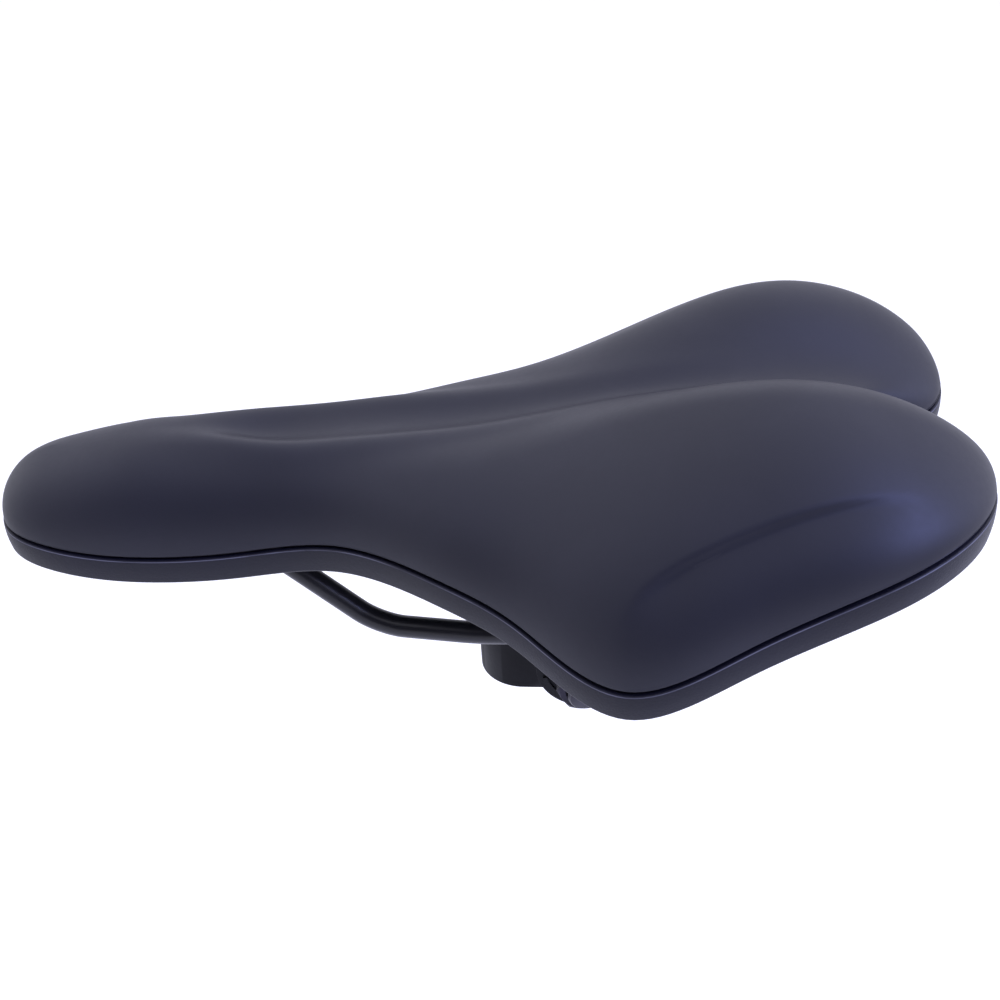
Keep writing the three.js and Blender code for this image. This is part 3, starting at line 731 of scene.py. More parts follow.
def creased(rows, settings):
    """Presses the wing creases into rows of the skin, square to its surface."""
    grid = np.array(rows)
    along, round_ = np.gradient(grid, axis=(0, 1))
    normal = np.cross(round_, along)
    normal /= np.linalg.norm(normal, axis=2)[:, :, None] + 1e-12
    x = grid[:, :, 0] - NOSE_X
    share = x / SADDLE_LENGTH
    below = np.abs(grid[:, :, 1]) - crease_at(x)
    edge = settings.crease_width / 2
    step = smooth((below + edge) / (2 * edge)) * (1 - smooth((below - edge) / settings.crease_reach))
    starts, start_fade, stops, stop_fade = 0.665, 0.05, 0.82, 0.11  # shares of the length
    ends = smooth((share - starts) / start_fade) * (1 - smooth((share - stops) / stop_fade))
    depth = settings.crease_depth * step * ends
    outward = np.where(normal[:, :, 2:] > 0, 1.0, -1.0)
    return list(grid - normal * outward * depth[:, :, None])


def rolled_edge(loop, thickness, steps=6):
    """The cover's lower edge, rolled under from its outer to its inner face."""
    radius = thickness / 2
    rows = []
    for angle in np.linspace(0, math.pi, steps + 1):
        rows.append(loop.at(radius * (1 - math.cos(angle)), radius * (1 - math.sin(angle))))
    return rows


class SADDLE_OT_cover(bpy.types.Operator):
    """Builds the moulded skin over the whole pad"""
    bl_idname = "saddle.cover"
    bl_label = "Cover"

    def execute(self, context):
        settings = context.scene.saddle_cover
        loop = Loop(settings.stations)
        look = cover_look(settings)
        nearly_rim = 0.9995
        outer = pad_surface(0, look)
        inner = pad_surface(settings.thickness, look)
        rows = []
        for share in np.linspace(0, 1, settings.rows + 1):
            rows.append(loop.row(0, nearly_rim * math.sin(share * math.pi / 2), outer))
        rows = creased(rows, settings)
        rows += rolled_edge(loop, settings.thickness)
        for share in np.linspace(1, 0, settings.rows // 4):
            rows.append(loop.row(settings.thickness, nearly_rim * math.sin(share * math.pi / 2), inner))
        piece = lofted("saddle_cover", rows)
        fitted(piece, "saddle", "cover_skin", skin_finish(settings), "cover")
        return {"FINISHED"}


class SADDLE_OT_foam(bpy.types.Operator):
    """Builds the foam pad between the cover and the base"""
    bl_idname = "saddle.foam"
    bl_label = "Foam pad"

    def execute(self, context):
        settings = context.scene.saddle_foam
        cover = context.scene.saddle_cover
        loop = Loop(168)
        inset = cover.thickness + settings.gap
        top = pad_surface(inset + settings.gap, cover_look(cover))
        under = base_surface(0, 0)
        rows = [loop.row(inset, math.sin(s * math.pi / 2), top) for s in np.linspace(0, 1, 19)]
        rows += [loop.row(inset, math.sin(s * math.pi / 2), under) for s in np.linspace(1, 0, 13)[1:]]
        piece = lofted("saddle_foam", rows)
        fitted(piece, "saddle", "foam", foam_finish(settings.colour), "foam_pad")
        return {"FINISHED"}


# Edge trim

SCREW_COUNT = 9
SCREW_TIP_HEIGHT = 2.7 * MM
SCREW_SEAT_DEPTH = 3.6 * MM
SCREW_PAD_HEIGHT = 3 * MM
SCREW_PAD_RADIUS = 5 * MM


def screw_seats():
    """The seats of the trim screws: the middle of each pad's upper face, in the frame."""
    seats = []
    for number in range(1, SCREW_COUNT + 1):
        low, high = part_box("trim_screw_%d" % number)
        seats.append(((low[0] + high[0]) / 2, (low[1] + high[1]) / 2, high[2] - SCREW_TIP_HEIGHT))
    return seats


class SADDLE_OT_trim(bpy.types.Operator):
    """Builds the plastic band round the foot of the seat"""
    bl_idname = "saddle.trim"
    bl_label = "Edge trim"

    def section(self, settings):
        """The band's section: inset from the seam loop and height over it, going round once."""
        top = -settings.seam_gap
        foot = top - settings.height
        proud = -0.5 * MM
        lean = 0.25 * MM
        lip = settings.lip_radius
        inner = 0.3 * MM + settings.wall
        foot_radius = 1.1 * MM
        flange_top = -SCREW_SEAT_DEPTH - FIT_GAP
        flange_foot = flange_top - settings.wall
        tip = 0.5 * MM
        points = arc((proud + lip, top - lip), lip, 90, 180, 6)
        for share in np.linspace(0.15, 0.85, 6):
            swell = 0.22 * MM * math.sin(share * math.pi)
            fall = (foot - top + lip + foot_radius) * share
            points.append((proud + lean * share - swell, top - lip + fall))
        points += arc((proud + lean + foot_radius, foot + foot_radius), foot_radius, 180, 270, 6)
        points += arc((inner - 0.3 * MM, foot + 0.5 * MM), 0.5 * MM, 270, 350, 4)
        points += [(inner + 0.1 * MM, flange_foot - 0.9 * MM), (inner + 0.35 * MM, flange_foot - 0.25 * MM)]
        points += [(inner + 1.0 * MM, flange_foot)]
        points += arc((settings.flange - tip, flange_foot + tip), tip, 270, 360, 4)
        points += arc((settings.flange - tip, flange_top - tip), tip, 0, 90, 4)
        points += [(inner, flange_top), (inner, top - 1 * MM), (inner - 0.3 * MM, top - 0.3 * MM)]
        points += [(inner - 0.8 * MM, top)]
        return points

    def execute(self, context):
        settings = context.scene.saddle_trim
        loop = Loop(392)
        rows = [loop.at(inset, height) for inset, height in self.section(settings)]
        band = lofted("band", rows, wrap=True)
        pads = [self.pad(place) for place in screw_seats()]
        piece = merged("edge_band", [band, *pads])
        # The lip colour goes in as the painted highlight on the band's upward-facing edges.
        finish = moulded_finish(
            "grained trim plastic", settings.colour, 0.5, 1500, 0.00016, settings.lip_highlight_colour)
        fitted(piece, "saddle", "trim_plastic", finish, "edge_trim")
        return {"FINISHED"}

    def pad(self, place):
        """A round pad of the flange under one screw, open for the screw's shank."""
        hole = 2.05 * MM
        seat = SCREW_PAD_RADIUS
        low, high = -SCREW_PAD_HEIGHT, 0
        profile = [(hole, low), (seat - 0.4 * MM, low), (seat, low + 0.4 * MM), (seat, high - 0.3 * MM),
                   (seat - 0.3 * MM, high), (hole, high)]
        return turned("pad", profile, 32, centre=place)


# Base

def saddle_point(along, across, height):
    """A place measured from the nose tip and the datum plane, in the frame."""
    return np.array([NOSE_X + along, across, DATUM_Z + height])


def solid_between(name, loop, upper, lower, steps=12):
    """A closed shell between two surfaces, each given as its inset and its height."""
    rows = [loop.row(upper[0], math.sin(s * math.pi / 2), upper[1]) for s in np.linspace(0, 1, steps)]
    rows += [loop.row(lower[0], math.sin(s * math.pi / 2), lower[1]) for s in np.linspace(1, 0, steps)]
    return lofted(name, rows)


def box_piece(name, low, high):
    corners = [(low[0], low[2]), (high[0], low[2]), (high[0], high[2]), (low[0], high[2])]
    return slab(name, corners, low[1], high[1])


class SADDLE_OT_base(bpy.types.Operator):
    """Builds the moulded base with its ribs, screw bosses, nose hook and rail sockets"""
    bl_idname = "saddle.base"
    bl_label = "Base"

    inset = 2 * MM
    inside_trim = 9.5 * MM
    # Bands behind the seam, as inset and height in mm: one hangs inside the trim, one closes the gap
    skirt = ((3.0, -3.2), (4.4, -3.2), (4.4, -0.15), (3.0, -0.25))
    ledge = ((1.15, -0.65), (3.4, -0.65), (3.4, -0.15), (1.55, -0.15), (1.55, 0.05), (1.15, 0.05))

    def execute(self, context):
        settings = context.scene.saddle_base
        loop = Loop(196)
        sunk = base_surface(0, FIT_GAP)
        shell = solid_between("base", loop, (self.inset, sunk),
                              (self.inset + settings.thickness, base_surface(settings.thickness, FIT_GAP)))
        combine(shell, self.ring("skirt", loop, self.skirt), "UNION")
        combine(shell, self.ribs(settings, loop), "UNION")
        combine(shell, self.holders(loop), "UNION")
        combine(shell, self.bosses(loop), "UNION")
        rod = swept("rod", rail_path(), lambda share: RAIL_RADIUS + FIT_GAP, 24)
        combine(shell, rod, "DIFFERENCE")
        pad_room = (-8 * MM, FIT_GAP, SCREW_PAD_RADIUS + FIT_GAP)
        pilot_hole = (-1 * MM, 3 * MM, 1.6 * MM)
        for low, high, radius in (pad_room, pilot_hole):
            rooms = [post("room", place, radius, low, high) for place in screw_seats()]
            combine(shell, merged("room", rooms), "DIFFERENCE")
        shell = rounded(shell, 0.45 * MM, 2, 40)
        piece = merged("moulded_base", [shell, self.ring("ledge", loop, self.ledge)])
        finish = moulded_finish("moulded base plastic", settings.colour, 0.5, 700, 0.0002)
        fitted(piece, "saddle", "base_plastic", finish, "base_shell")
        return {"FINISHED"}

    def ring(self, name, loop, section):
        """A band round the seam loop; its section gives inset and height in mm."""
        return lofted(name, [loop.at(inset * MM, height * MM) for inset, height in section], wrap=True)

    def under(self, loop, inset):
        """The room under the base's dome, inside an inset."""
        return solid_between("room", loop, (inset, base_surface(0, FIT_GAP * 1.5)),
                             (inset, lambda x, y, reach, seam: RAIL_Z - DATUM_Z - 20 * MM + 0 * x))

    def ribs(self, settings, loop):
        hanging = solid_between(
            "ribs", loop, (self.inside_trim, base_surface(0, FIT_GAP * 1.5)),
            (self.inside_trim + settings.rib_depth / 2,
             base_surface(settings.thickness + settings.rib_depth, FIT_GAP)))
        half = settings.rib_thickness / 2
        width = SADDLE_HALF_WIDTH
        walls = []
        top = 200 * MM  # well over the saddle
        for share in (0.36, 0.55, 0.68, 0.8):
            x = NOSE_X + share * SADDLE_LENGTH
            walls.append(box_piece("wall", (x - half, -width, 0), (x + half, width, top)))
        whole = walls[0]
        for wall in walls[1:]:
            combine(whole, wall, "UNION")
        combine(whole, box_piece("wall", (NOSE_X, -half, 0), (TAIL_X, half, top)), "UNION")
        return combine(whole, hanging, "INTERSECT")

    def holders(self, loop):
        """The hook for the rail's nose loop and the two sockets for its ends, cut to fit under the dome."""
        nose = rail_corners()[-1][0]
        side_wall, floor_wall, front, back, above = 3.5 * MM, 3 * MM, 7.5 * MM, 9.5 * MM, 34 * MM
        half_width = nose[1] + RAIL_RADIUS + side_wall
        low = saddle_point(nose[0] - front, -half_width, nose[2] - RAIL_RADIUS - floor_wall)
        high = saddle_point(nose[0] + back, half_width, nose[2] + above)
        whole = box_piece("holders", low, high)
        socket_wall, socket_root, socket_reach = 4 * MM, 30 * MM, 17 * MM
        for side in (1, -1):
            end, foot = (saddle_point(at[0], side * at[1], at[2]) for at, _ in rail_corners()[:2])
            toward = (foot - end) / np.linalg.norm(foot - end)
            path = np.linspace(end - toward * socket_root, end + toward * socket_reach, 6)
            combine(whole, swept("socket", path, lambda share: RAIL_RADIUS + socket_wall, 32), "UNION")
        return combine(whole, self.under(loop, self.inside_trim), "INTERSECT")

    def bosses(self, loop):
        radius = SCREW_PAD_RADIUS - 0.5 * MM
        posts = [post("bosses", place, radius, FIT_GAP, 60 * MM) for place in screw_seats()]
        return combine(merged("bosses", posts), self.under(loop, self.inset), "INTERSECT")


def post(name, place, radius, low, high, sides=32):
    """A round post over a place, between two heights from it."""
    return turned(name, [(0, low), (radius, low), (radius, high), (0, high)], sides, centre=place)


# Rail

def rail_corners():
    """The rod's corners on the rider's right, tail to nose, each with the reach of its bend."""
    settings = bpy.context.scene.saddle_rail
    slide = 12 * MM
    tail_bend, front_bend, dip_bend, nose_bend = 11 * MM, 5 * MM, 8 * MM, 10 * MM
    dip_setback, climb_end = 31 * MM, 74 * MM  # ahead of the straight run
    dip_spread, nose_spread = 0.71, 0.19  # shares of the narrowing that are left
    reach = PLATE_RADIUS + slide
    bolt_along = BOLT_X - NOSE_X
    straight_height = RAIL_Z - DATUM_Z
    nose_half = settings.loop / 2
    spread = RAIL_Y - nose_half
    front = bolt_along - reach - 6 * MM
    nose_setback = span("rail", 0)[0] + RAIL_RADIUS - NOSE_X
    return [
        ((SADDLE_LENGTH - settings.tail_setback, settings.tail_spacing / 2, settings.tail_rise), 0),
        ((bolt_along + reach + tail_bend, RAIL_Y, straight_height), tail_bend),
        ((front, RAIL_Y, straight_height), front_bend),
        ((front - dip_setback, nose_half + dip_spread * spread, straight_height), dip_bend),
        ((front - climb_end, nose_half + nose_spread * spread, -settings.nose_drop), nose_bend),
        ((nose_setback, nose_half, -settings.nose_drop), nose_half),
    ]


RAIL_STEP = 1.2 * MM


def rail_path():
    """The rod's centre line in even steps: straight runs between corners, rounded by bends."""
    right = rail_corners()
    left = [((x, -y, z), bend) for (x, y, z), bend in reversed(right)]
    corners = [(saddle_point(*at), bend) for at, bend in right + left]
    points = [corners[0][0]]
    handle = 0.55  # share of the way to the corner, for a bend near a true arc
    s = np.linspace(0, 1, 25)[:, None]
    for (before, _), (corner, bend), (after, _) in zip(corners, corners[1:], corners[2:]):
        enter = corner + (before - corner) * bend / np.linalg.norm(before - corner)
        leave = corner + (after - corner) * bend / np.linalg.norm(after - corner)
        first = enter + (corner - enter) * handle
        second = leave + (corner - leave) * handle
        points.extend(enter * (1 - s) ** 3 + first * 3 * s * (1 - s) ** 2 + second * 3 * s ** 2 * (1 - s)
                      + leave * s ** 3)
    points.append(corners[-1][0])
    points = np.array(points)
    run = np.concatenate([[0], np.cumsum(np.linalg.norm(np.diff(points, axis=0), axis=1))])
    keep = np.concatenate([[True], np.diff(run) > 1e-7])
    even = np.linspace(0, run[-1], int(run[-1] / RAIL_STEP))
    return np.stack([np.interp(even, run[keep], points[keep, axis]) for axis in range(3)], axis=1)


class SADDLE_OT_rail(bpy.types.Operator):
    """Builds the rail, one bent steel rod"""
    bl_idname = "saddle.rail"
    bl_label = "Rail"

    def execute(self, context):
        settings = context.scene.saddle_rail
        path = rail_path()
        chamfer, slope = 0.8 * MM, 0.8
        length = len(path) * RAIL_STEP

        def radius_at(share):
            end = min(share, 1 - share) * length
            return RAIL_RADIUS - max(0.0, chamfer - end) * slope

        piece = swept("rail_rod", path, radius_at, 40)
        finish = powder_finish("rail powder coat", settings.colour, 0.34, gloss=0.34, coat=0.1)
        fitted(piece, "saddle", "rail_paint", finish, "rail")
        return {"FINISHED"}


# Clamp

class SADDLE_OT_band(bpy.types.Operator):
    """Builds the steel band that grips the seatpost"""
    bl_idname = "saddle.band"
    bl_label = "Seatpost band"

    def execute(self, context):
        settings = context.scene.saddle_clamp
        bore = BAND_RADIUS - settings.wall
        half = BAND_HALF_HEIGHT
        slit = settings.slit / 2
        sides = 96
        ring = turned("band", [(bore, -half), (BAND_RADIUS, -half), (BAND_RADIUS, half), (bore, half)], sides)
        for low in (-BAND_RADIUS, bore):
            combine(ring, slab("leg", self.leg(), low, low + settings.wall), "UNION")
        cuts = [post("bore", (0, 0, 0), bore, -half - MM, half + MM, sides),
                box_piece("slit", (BAND_RADIUS / 2, -slit, -half - MM), (BAND_RADIUS * 1.5, slit, half + MM)),
                bolt_hole()]
        for cut in cuts:
            combine(ring, cut, "DIFFERENCE")
        ring.name = "post_band"
        finish = powder_finish("clamp powder coat", settings.colour, 0.55, 520, gloss=0.12, coat=0)
        fitted(rounded(ring, 0.7 * MM, 4, 40), "post_clamp", "clamp_steel", finish, "clamp_band")
        return {"FINISHED"}

    def leg(self):
        """A leg of the band with its round ear about the bolt, seen from the side."""
        ear = PLATE_RADIUS - 1 * MM
        points = [(0, -BAND_HALF_HEIGHT), (BOLT_X * 0.55, -BAND_HALF_HEIGHT)]
        lower_tangent, upper_tangent = -51.6, 108.9  # degrees
        points += arc((BOLT_X, BOLT_Z), ear, lower_tangent, upper_tangent, 28)
        return points + [(0, BAND_HALF_HEIGHT)]


def bolt_hole():
    """A round cutter along the cross bolt, right through the clamp."""
    radius = BOLT_RADIUS + FIT_GAP
    half = 60 * MM
    return turned("hole", [(0, -half), (radius, -half), (radius, half), (0, half)], 48, "y", BOLT_CENTRE)


class SADDLE_OT_plates(bpy.types.Operator):
    """Builds the two pairs of pressed plates that grip the rail"""
    bl_idname = "saddle.plates"
    bl_label = "Clamp plates"

    rail_above_bolt = 9 * MM
    gap = 1.2 * MM
    groove = RAIL_RADIUS + FIT_GAP

    def execute(self, context):
        settings = context.scene.saddle_clamp
        finish = powder_finish("plate powder coat", settings.colour, 0.5, 560, gloss=0.15, coat=0)
        for layer in ("inner", "outer"):
            low, high = span(layer + "_plate_right", 1)
            plate = self.plate(settings, layer == "inner", low, high)
            plate.name = layer + "_grip_plate_right"
            copy = mirrored(plate, layer + "_grip_plate_left")
            fitted(plate, "rail_carrier", "clamp_steel", finish, layer + "_plate_right")
            fitted(copy, "rail_carrier", "clamp_steel", finish, layer + "_plate_left")
        return {"FINISHED"}

    def plate(self, settings, inner, low, high):
        wall = settings.plate_wall
        if inner:
            web, deep = (low, low + wall), (low, RAIL_Y - self.gap / 2)
        else:
            high -= PLATE_SEAT_HEIGHT
            web, deep = (high - wall, high), (RAIL_Y + self.gap / 2, high)
        plate = slab("plate", self.half_round(PLATE_RADIUS), *web)
        combine(plate, slab("rim", self.rim(PLATE_RADIUS, PLATE_RADIUS - wall), *deep), "UNION")
        combine(plate, self.grip(wall, deep), "UNION")
        if not inner:
            for radius, height in ((8.6 * MM, 0.9 * MM), (11.6 * MM, 0.7 * MM)):
                ridge = self.rim(radius + 0.7 * MM, radius - 0.7 * MM, 12)
                combine(plate, slab("ridge", ridge, high - 0.4 * MM, high + height), "UNION")
            root, face, seat = high - wall / 2, high + PLATE_SEAT_HEIGHT, 7.2 * MM
            disc = [(0, root), (seat, root), (seat, face), (0, face)]
            combine(plate, turned("seat", disc, 48, "y", BOLT_CENTRE), "UNION")
        rod = np.array([(BOLT_X + x, RAIL_Y, RAIL_Z) for x in np.linspace(-0.03, 0.03, 5)])
        combine(plate, swept("groove", rod, lambda share: self.groove, 48), "DIFFERENCE")
        combine(plate, bolt_hole(), "DIFFERENCE")
        return rounded(plate, 0.4 * MM, 3, 40)

    def half_round(self, radius):
        top = BOLT_Z + self.rail_above_bolt
        return arc((BOLT_X, BOLT_Z), radius, 180, 360, 40) + [(BOLT_X + radius, top), (BOLT_X - radius, top)]

    def rim(self, outer, inner, start=0):
        """A curved strip round the lower half of the plate; start shortens both ends, in degrees."""
        centre, first, last = (BOLT_X, BOLT_Z), 180 + start, 360 - start
        return arc(centre, outer, first, last, 40) + arc(centre, inner, last, first, 40)

    def grip(self, wall, deep):
        """The bulge that wraps half of the rod."""
        rod = np.array([(BOLT_X + x, RAIL_Y, RAIL_Z) for x in np.linspace(-PLATE_RADIUS, PLATE_RADIUS, 5)])
        bulge = swept("bulge", rod, lambda share: self.groove + wall, 48)
        reach = 30 * MM
        low = (BOLT_X - reach, deep[0], RAIL_Z - reach)
        high = (BOLT_X + reach, deep[1], RAIL_Z + reach)
        return combine(bulge, box_piece("half", low, high), "INTERSECT")


# Fasteners

def thread_profile(radius, depth, pitch, low, high):
    """Radius and height along a threaded run, drawn as rings, so that a turned profile can hold it."""
    points = []
    count = int((high - low) / pitch)
    for turn in range(count):
        start = low + turn * pitch
        for share, sink in ((0.0, 1.0), (0.14, 1.0), (0.44, 0.0), (0.70, 0.0)):  # root, then crest
            points.append((radius - depth * sink, start + share * pitch))
    points.append((radius - depth, low + count * pitch))
    return points


class SADDLE_OT_bolt(bpy.types.Operator):
    """Builds the cross bolt, a stud threaded at both ends"""
    bl_idname = "saddle.bolt"
    bl_label = "Cross bolt"

    def execute(self, context):
        settings = context.scene.saddle_fasteners
        half = size("cross_bolt", 1) / 2
        radius = BOLT_RADIUS
        depth = 0.55 * MM
        tip = 1.0 * MM
        threads = 13 * MM
        shank = radius - 0.1 * MM
        profile = [(0, -half), (radius - tip, -half), (radius - depth, -half + tip - depth)]
        profile += thread_profile(radius, depth, settings.pitch, -half + tip, -half + threads)
        profile += [(shank, -half + threads + MM), (shank, half - threads - MM)]
        profile += [(r, -z) for r, z in reversed(profile[:-2])]
        piece = turned("cross_stud", profile, 48, "y", BOLT_CENTRE)
        fitted(piece, "post_clamp", "zinc_steel",
               plated_finish("black zinc stud", settings.colour, 0.34), "cross_bolt")
        return {"FINISHED"}


class SADDLE_OT_nuts(bpy.types.Operator):
    """Builds the hexagon nuts at both ends of the cross bolt"""
    bl_idname = "saddle.nuts"
    bl_label = "Nuts"

    def execute(self, context):
        settings = context.scene.saddle_fasteners
        low, high = span("nut_right", 1)
        flats = size("nut_right", 2)
        corner = flats / 2 / math.cos(math.pi / 6)
        hexagon = [(BOLT_X + corner * math.cos(a), BOLT_Z + corner * math.sin(a))
                   for a in np.arange(6) * math.pi / 3]
        nut = slab("nut", hexagon, low, high)
        crown, face = 0.7 * MM, corner - 1.1 * MM
        dome = [(0, low), (face, low), (corner, low + crown)]
        dome += [(corner, high - crown), (face, high), (0, high)]
        combine(nut, turned("crown", dome, 96, "y", BOLT_CENTRE), "INTERSECT")
        hole = BOLT_RADIUS + FIT_GAP
        mouth, lead = hole + 1.4 * MM, 0.5 * MM
        bored = [(0, low - MM), (mouth, low - MM), (hole, low + lead)]
        bored += [(hole, high - lead), (mouth, high + MM), (0, high + MM)]
        combine(nut, turned("bore", bored, 48, "y", BOLT_CENTRE), "DIFFERENCE")
        rounded(nut, 0.18 * MM, 2, 25)
        nut.name = "hex_nut_right"
        finish = plated_finish("black zinc nut", settings.colour, 0.3)
        copy = mirrored(nut, "hex_nut_left")
        fitted(nut, "right_nut", "zinc_steel", finish, "nut_right")
        fitted(copy, "left_nut", "zinc_steel", finish, "nut_left")
        return {"FINISHED"}


class SADDLE_OT_washers(bpy.types.Operator):
    """Builds the washers under the nuts"""
    bl_idname = "saddle.washers"
    bl_label = "Washers"

    def execute(self, context):
        settings = context.scene.saddle_fasteners
        low, high = span("washer_right", 1)
        outer = size("washer_right", 0) / 2
        inner = BOLT_RADIUS + FIT_GAP
        edge = 0.25 * MM
        profile = [(inner, low + edge), (inner + edge, low), (outer - edge, low), (outer, low + edge)]
        profile += [(outer, high - edge * 2), (outer - edge * 2, high)]
        profile += [(inner + edge, high), (inner, high - edge)]
        washer = turned("flat_washer_right", profile, 64, "y", BOLT_CENTRE)
        finish = plated_finish("black zinc washer", settings.colour, 0.36)
        copy = mirrored(washer, "flat_washer_left")
        rounded_shading(washer)
        rounded_shading(copy)
        fitted(washer, "right_washer", "zinc_steel", finish, "washer_right")
        fitted(copy, "left_washer", "zinc_steel", finish, "washer_left")
        return {"FINISHED"}


def rounded_shading(piece, angle=40):
    """Smooth shading, kept crisp across edges sharper than the angle."""
    piece.data.set_sharp_from_angle(angle=math.radians(angle))


class SADDLE_OT_screws(bpy.types.Operator):
    """Builds the pan-head screws that hold the edge trim to the base"""
    bl_idname = "saddle.screws"
    bl_label = "Trim screws"

    def execute(self, context):
        settings = context.scene.saddle_fasteners
        finish = plated_finish("black zinc screw", settings.colour, 0.33)
        for number, place in enumerate(screw_seats(), 1):
            screw = self.screw(settings, place)
            screw.name = "pan_screw_%d" % number
            fitted(screw, "saddle", "zinc_steel", finish, "trim_screw_%d" % number)
        return {"FINISHED"}

    def screw(self, settings, place):
        """One screw, head down, under the pad that it holds."""
        radius = 1.75 * MM
        head = 3.4 * MM
        under = -SCREW_PAD_HEIGHT - FIT_GAP
        foot = under - 2.2 * MM
        tip = 2.7 * MM
        brim = under - 0.35 * MM
        profile = [(x * head, brim + z * (brim - foot)) for x, z in arc((0, 0), 1, 270, 360, 9)]
        profile += [(head, under - 0.1 * MM), (head - 0.1 * MM, under), (radius, under)]
        profile += thread_profile(radius, 0.45 * MM, settings.screw_pitch, under + 0.3 * MM, tip - 1.2 * MM)
        profile += [(radius - 0.6 * MM, tip - 0.9 * MM), (0.3 * MM, tip), (0, tip)]
        screw = turned("screw", profile, 32, centre=place)
        half, slot, deep = settings.recess / 2, 0.55 * MM, 1.2 * MM
        for turn in (0, 1):
            wide, narrow = (half, slot) if turn else (slot, half)
            low = np.array(place) + (-wide, -narrow, foot - MM)
            high = np.array(place) + (wide, narrow, foot + deep)
            combine(screw, box_piece("recess", low, high), "DIFFERENCE")
        rounded_shading(screw)
        return screw


# Stage

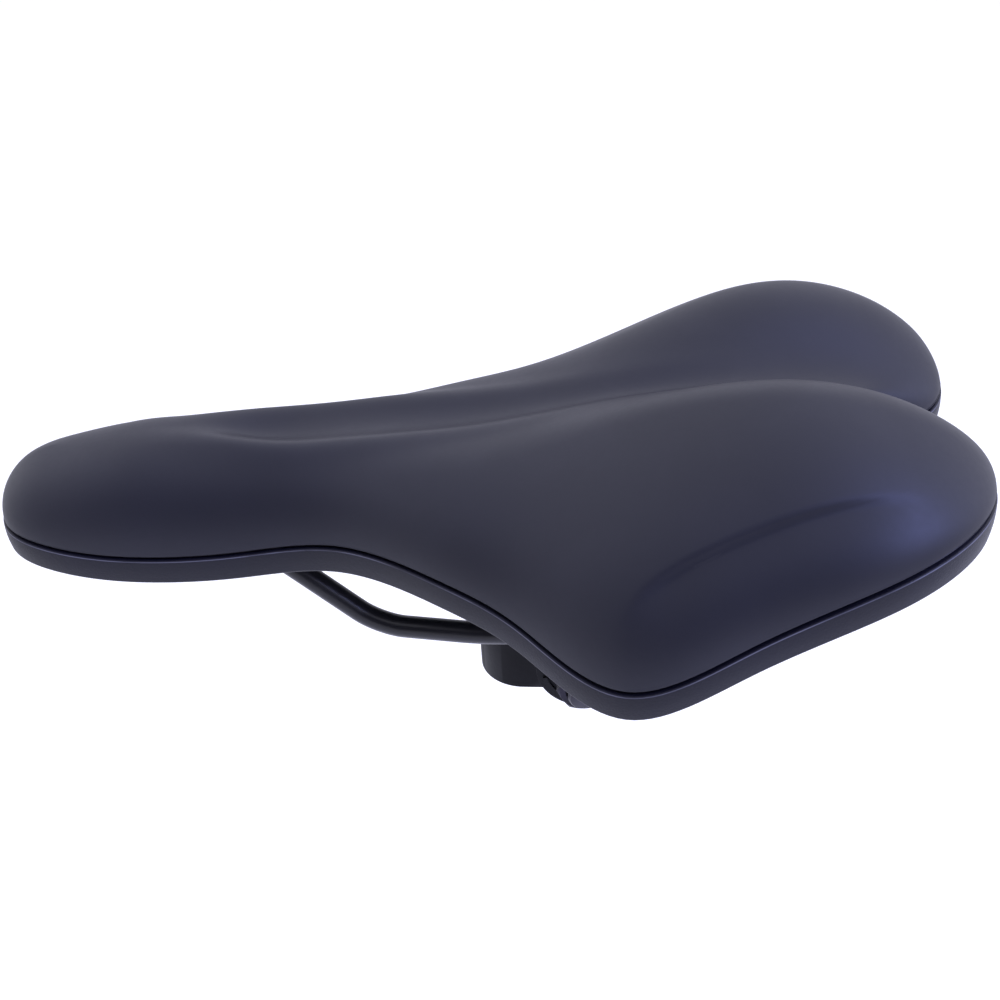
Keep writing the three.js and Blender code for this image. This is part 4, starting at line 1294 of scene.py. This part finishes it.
class SADDLE_OT_stage(bpy.types.Operator):
    """Builds the floor, the soft lights and the camera"""
    bl_idname = "saddle.stage"
    bl_label = "Stage"

    def execute(self, context):
        settings = context.scene.saddle_stage
        self.floor(settings)
        self.lights(context)
        self.camera(context, settings)
        return {"FINISHED"}

    def floor(self, settings):
        height = -BAND_HALF_HEIGHT - settings.floor_drop
        reach = 30
        corners = [(x * reach, y * reach, height) for x, y in ((-1, -1), (1, -1), (1, 1), (-1, 1))]
        floor = mesh_object("floor", corners, [(0, 1, 2, 3)])
        floor.data.materials.append(floor_finish())

    def lights(self, context):
        context.scene.world = self.room()
        context.scene.view_settings.view_transform = "Standard"
        middle = Vector((-0.01, 0, 0.07))
        self.flag(middle)
        self.area("sky_panel", (0.10, 0.60, 1.05), middle, 1.5, 5.8, (0.94, 0.95, 1.0))
        self.area("tail_panel", (1.15, 0.10, 0.55), middle, 0.9, 3, (0.66, 0.72, 1.0))
        self.area("blue_panel", (0.76, -0.58, 0.86), middle, 0.6, 13, (0.38, 0.45, 1.0))
        self.area("nose_panel", (-1.1, 0.2, 0.6), middle, 0.9, 2, (0.95, 0.96, 1.0))

    def room(self):
        """An even white room."""
        world = bpy.data.worlds.new("studio")
        world.use_nodes = True
        background = world.node_tree.nodes["Background"]
        background.inputs["Color"].default_value = (1.0, 1.0, 1.16, 1)
        background.inputs["Strength"].default_value = 1.0
        return world

    def flag(self, target):
        """A black screen behind the camera, unseen itself, which keeps the near side's gloss down."""
        radius, steps = 1.15, 22
        bow = []
        for turn in np.radians(np.linspace(-142, -70, steps + 1)):
            for height in (-0.06, 1.0):
                bow.append((radius * math.cos(turn), radius * math.sin(turn), target.z + height))
        faces = [(2 * i, 2 * i + 2, 2 * i + 3, 2 * i + 1) for i in range(steps)]
        screen = mesh_object("black_screen", bow, faces)
        screen.visible_camera = False
        s = Shader("black felt", Roughness=1.0, Specular_IOR_Level=0.0)
        nap = s.noise(400, 3, 0.6)
        screen.data.materials.append(s.set(Base_Color=s.mix(nap, (0.02, 0.02, 0.02), (0.035, 0.035, 0.035))))

    def area(self, name, place, target, width, power, colour):
        """A square soft light that faces the saddle."""
        light = bpy.data.lights.new(name, "AREA")
        light.size = width
        light.energy = power
        light.color = colour
        lamp = bpy.data.objects.new(name, light)
        lamp.location = place
        lamp.rotation_euler = (target - Vector(place)).to_track_quat("-Z", "Y").to_euler()
        bpy.context.scene.collection.objects.link(lamp)

    def camera(self, context, settings):
        """Looks at the saddle's middle from its left, above and a little ahead."""
        turn, rise, roll = settings.azimuth, settings.elevation, settings.roll
        right = Vector((math.cos(turn), math.sin(turn), 0))
        view = Vector((-math.sin(turn) * math.cos(rise), math.cos(turn) * math.cos(rise), -math.sin(rise)))
        up = right.cross(view)
        rolled_right = math.cos(roll) * right + math.sin(roll) * up
        rolled_up = -math.sin(roll) * right + math.cos(roll) * up
        target = Vector(saddle_point(SADDLE_LENGTH / 2, 0, 10 * MM))
        target += settings.aim_right * rolled_right - settings.aim_down * rolled_up
        camera = bpy.data.objects.new("camera", bpy.data.cameras.new("camera"))
        camera.data.lens = settings.lens
        camera.data.sensor_width = 36
        camera.data.clip_start = 0.01
        camera.location = target - view * settings.distance
        camera.rotation_euler = Matrix((rolled_right, rolled_up, -view)).transposed().to_euler()
        context.scene.collection.objects.link(camera)
        context.scene.camera = camera


# Panel, and the run

OPERATORS = (
    SADDLE_OT_stage, SADDLE_OT_cover, SADDLE_OT_foam, SADDLE_OT_trim, SADDLE_OT_base, SADDLE_OT_rail,
    SADDLE_OT_band, SADDLE_OT_plates, SADDLE_OT_bolt, SADDLE_OT_nuts, SADDLE_OT_washers, SADDLE_OT_screws,
)

SETTINGS = {
    "saddle_cover": CoverSettings, "saddle_foam": FoamSettings, "saddle_trim": TrimSettings,
    "saddle_base": BaseSettings, "saddle_rail": RailSettings, "saddle_clamp": ClampSettings,
    "saddle_fasteners": FastenerSettings, "saddle_stage": StageSettings,
}


class SADDLE_PT_panel(bpy.types.Panel):
    """Lists the saddle's operators in the 3D view's sidebar"""
    bl_idname = "SADDLE_PT_panel"
    bl_label = "Bicycle Saddle"
    bl_space_type = "VIEW_3D"
    bl_region_type = "UI"
    bl_category = "Saddle"

    def draw(self, context):
        for operator in OPERATORS:
            self.layout.operator(operator.bl_idname)
        for name, group in SETTINGS.items():
            box = self.layout.box()
            for setting in group.__annotations__:
                box.prop(getattr(context.scene, name), setting)


def register():
    for group in SETTINGS.values():
        bpy.utils.register_class(group)
    for name, group in SETTINGS.items():
        setattr(bpy.types.Scene, name, PointerProperty(type=group))
    for operator in OPERATORS:
        bpy.utils.register_class(operator)
    bpy.utils.register_class(SADDLE_PT_panel)


def unregister():
    bpy.utils.unregister_class(SADDLE_PT_panel)
    for operator in reversed(OPERATORS):
        bpy.utils.unregister_class(operator)
    for name, group in SETTINGS.items():
        delattr(bpy.types.Scene, name)
        bpy.utils.unregister_class(group)


def main():
    register()
    for operator in OPERATORS:
        family, name = operator.bl_idname.split(".")
        getattr(getattr(bpy.ops, family), name)()


if __name__ == "__main__":
    main()
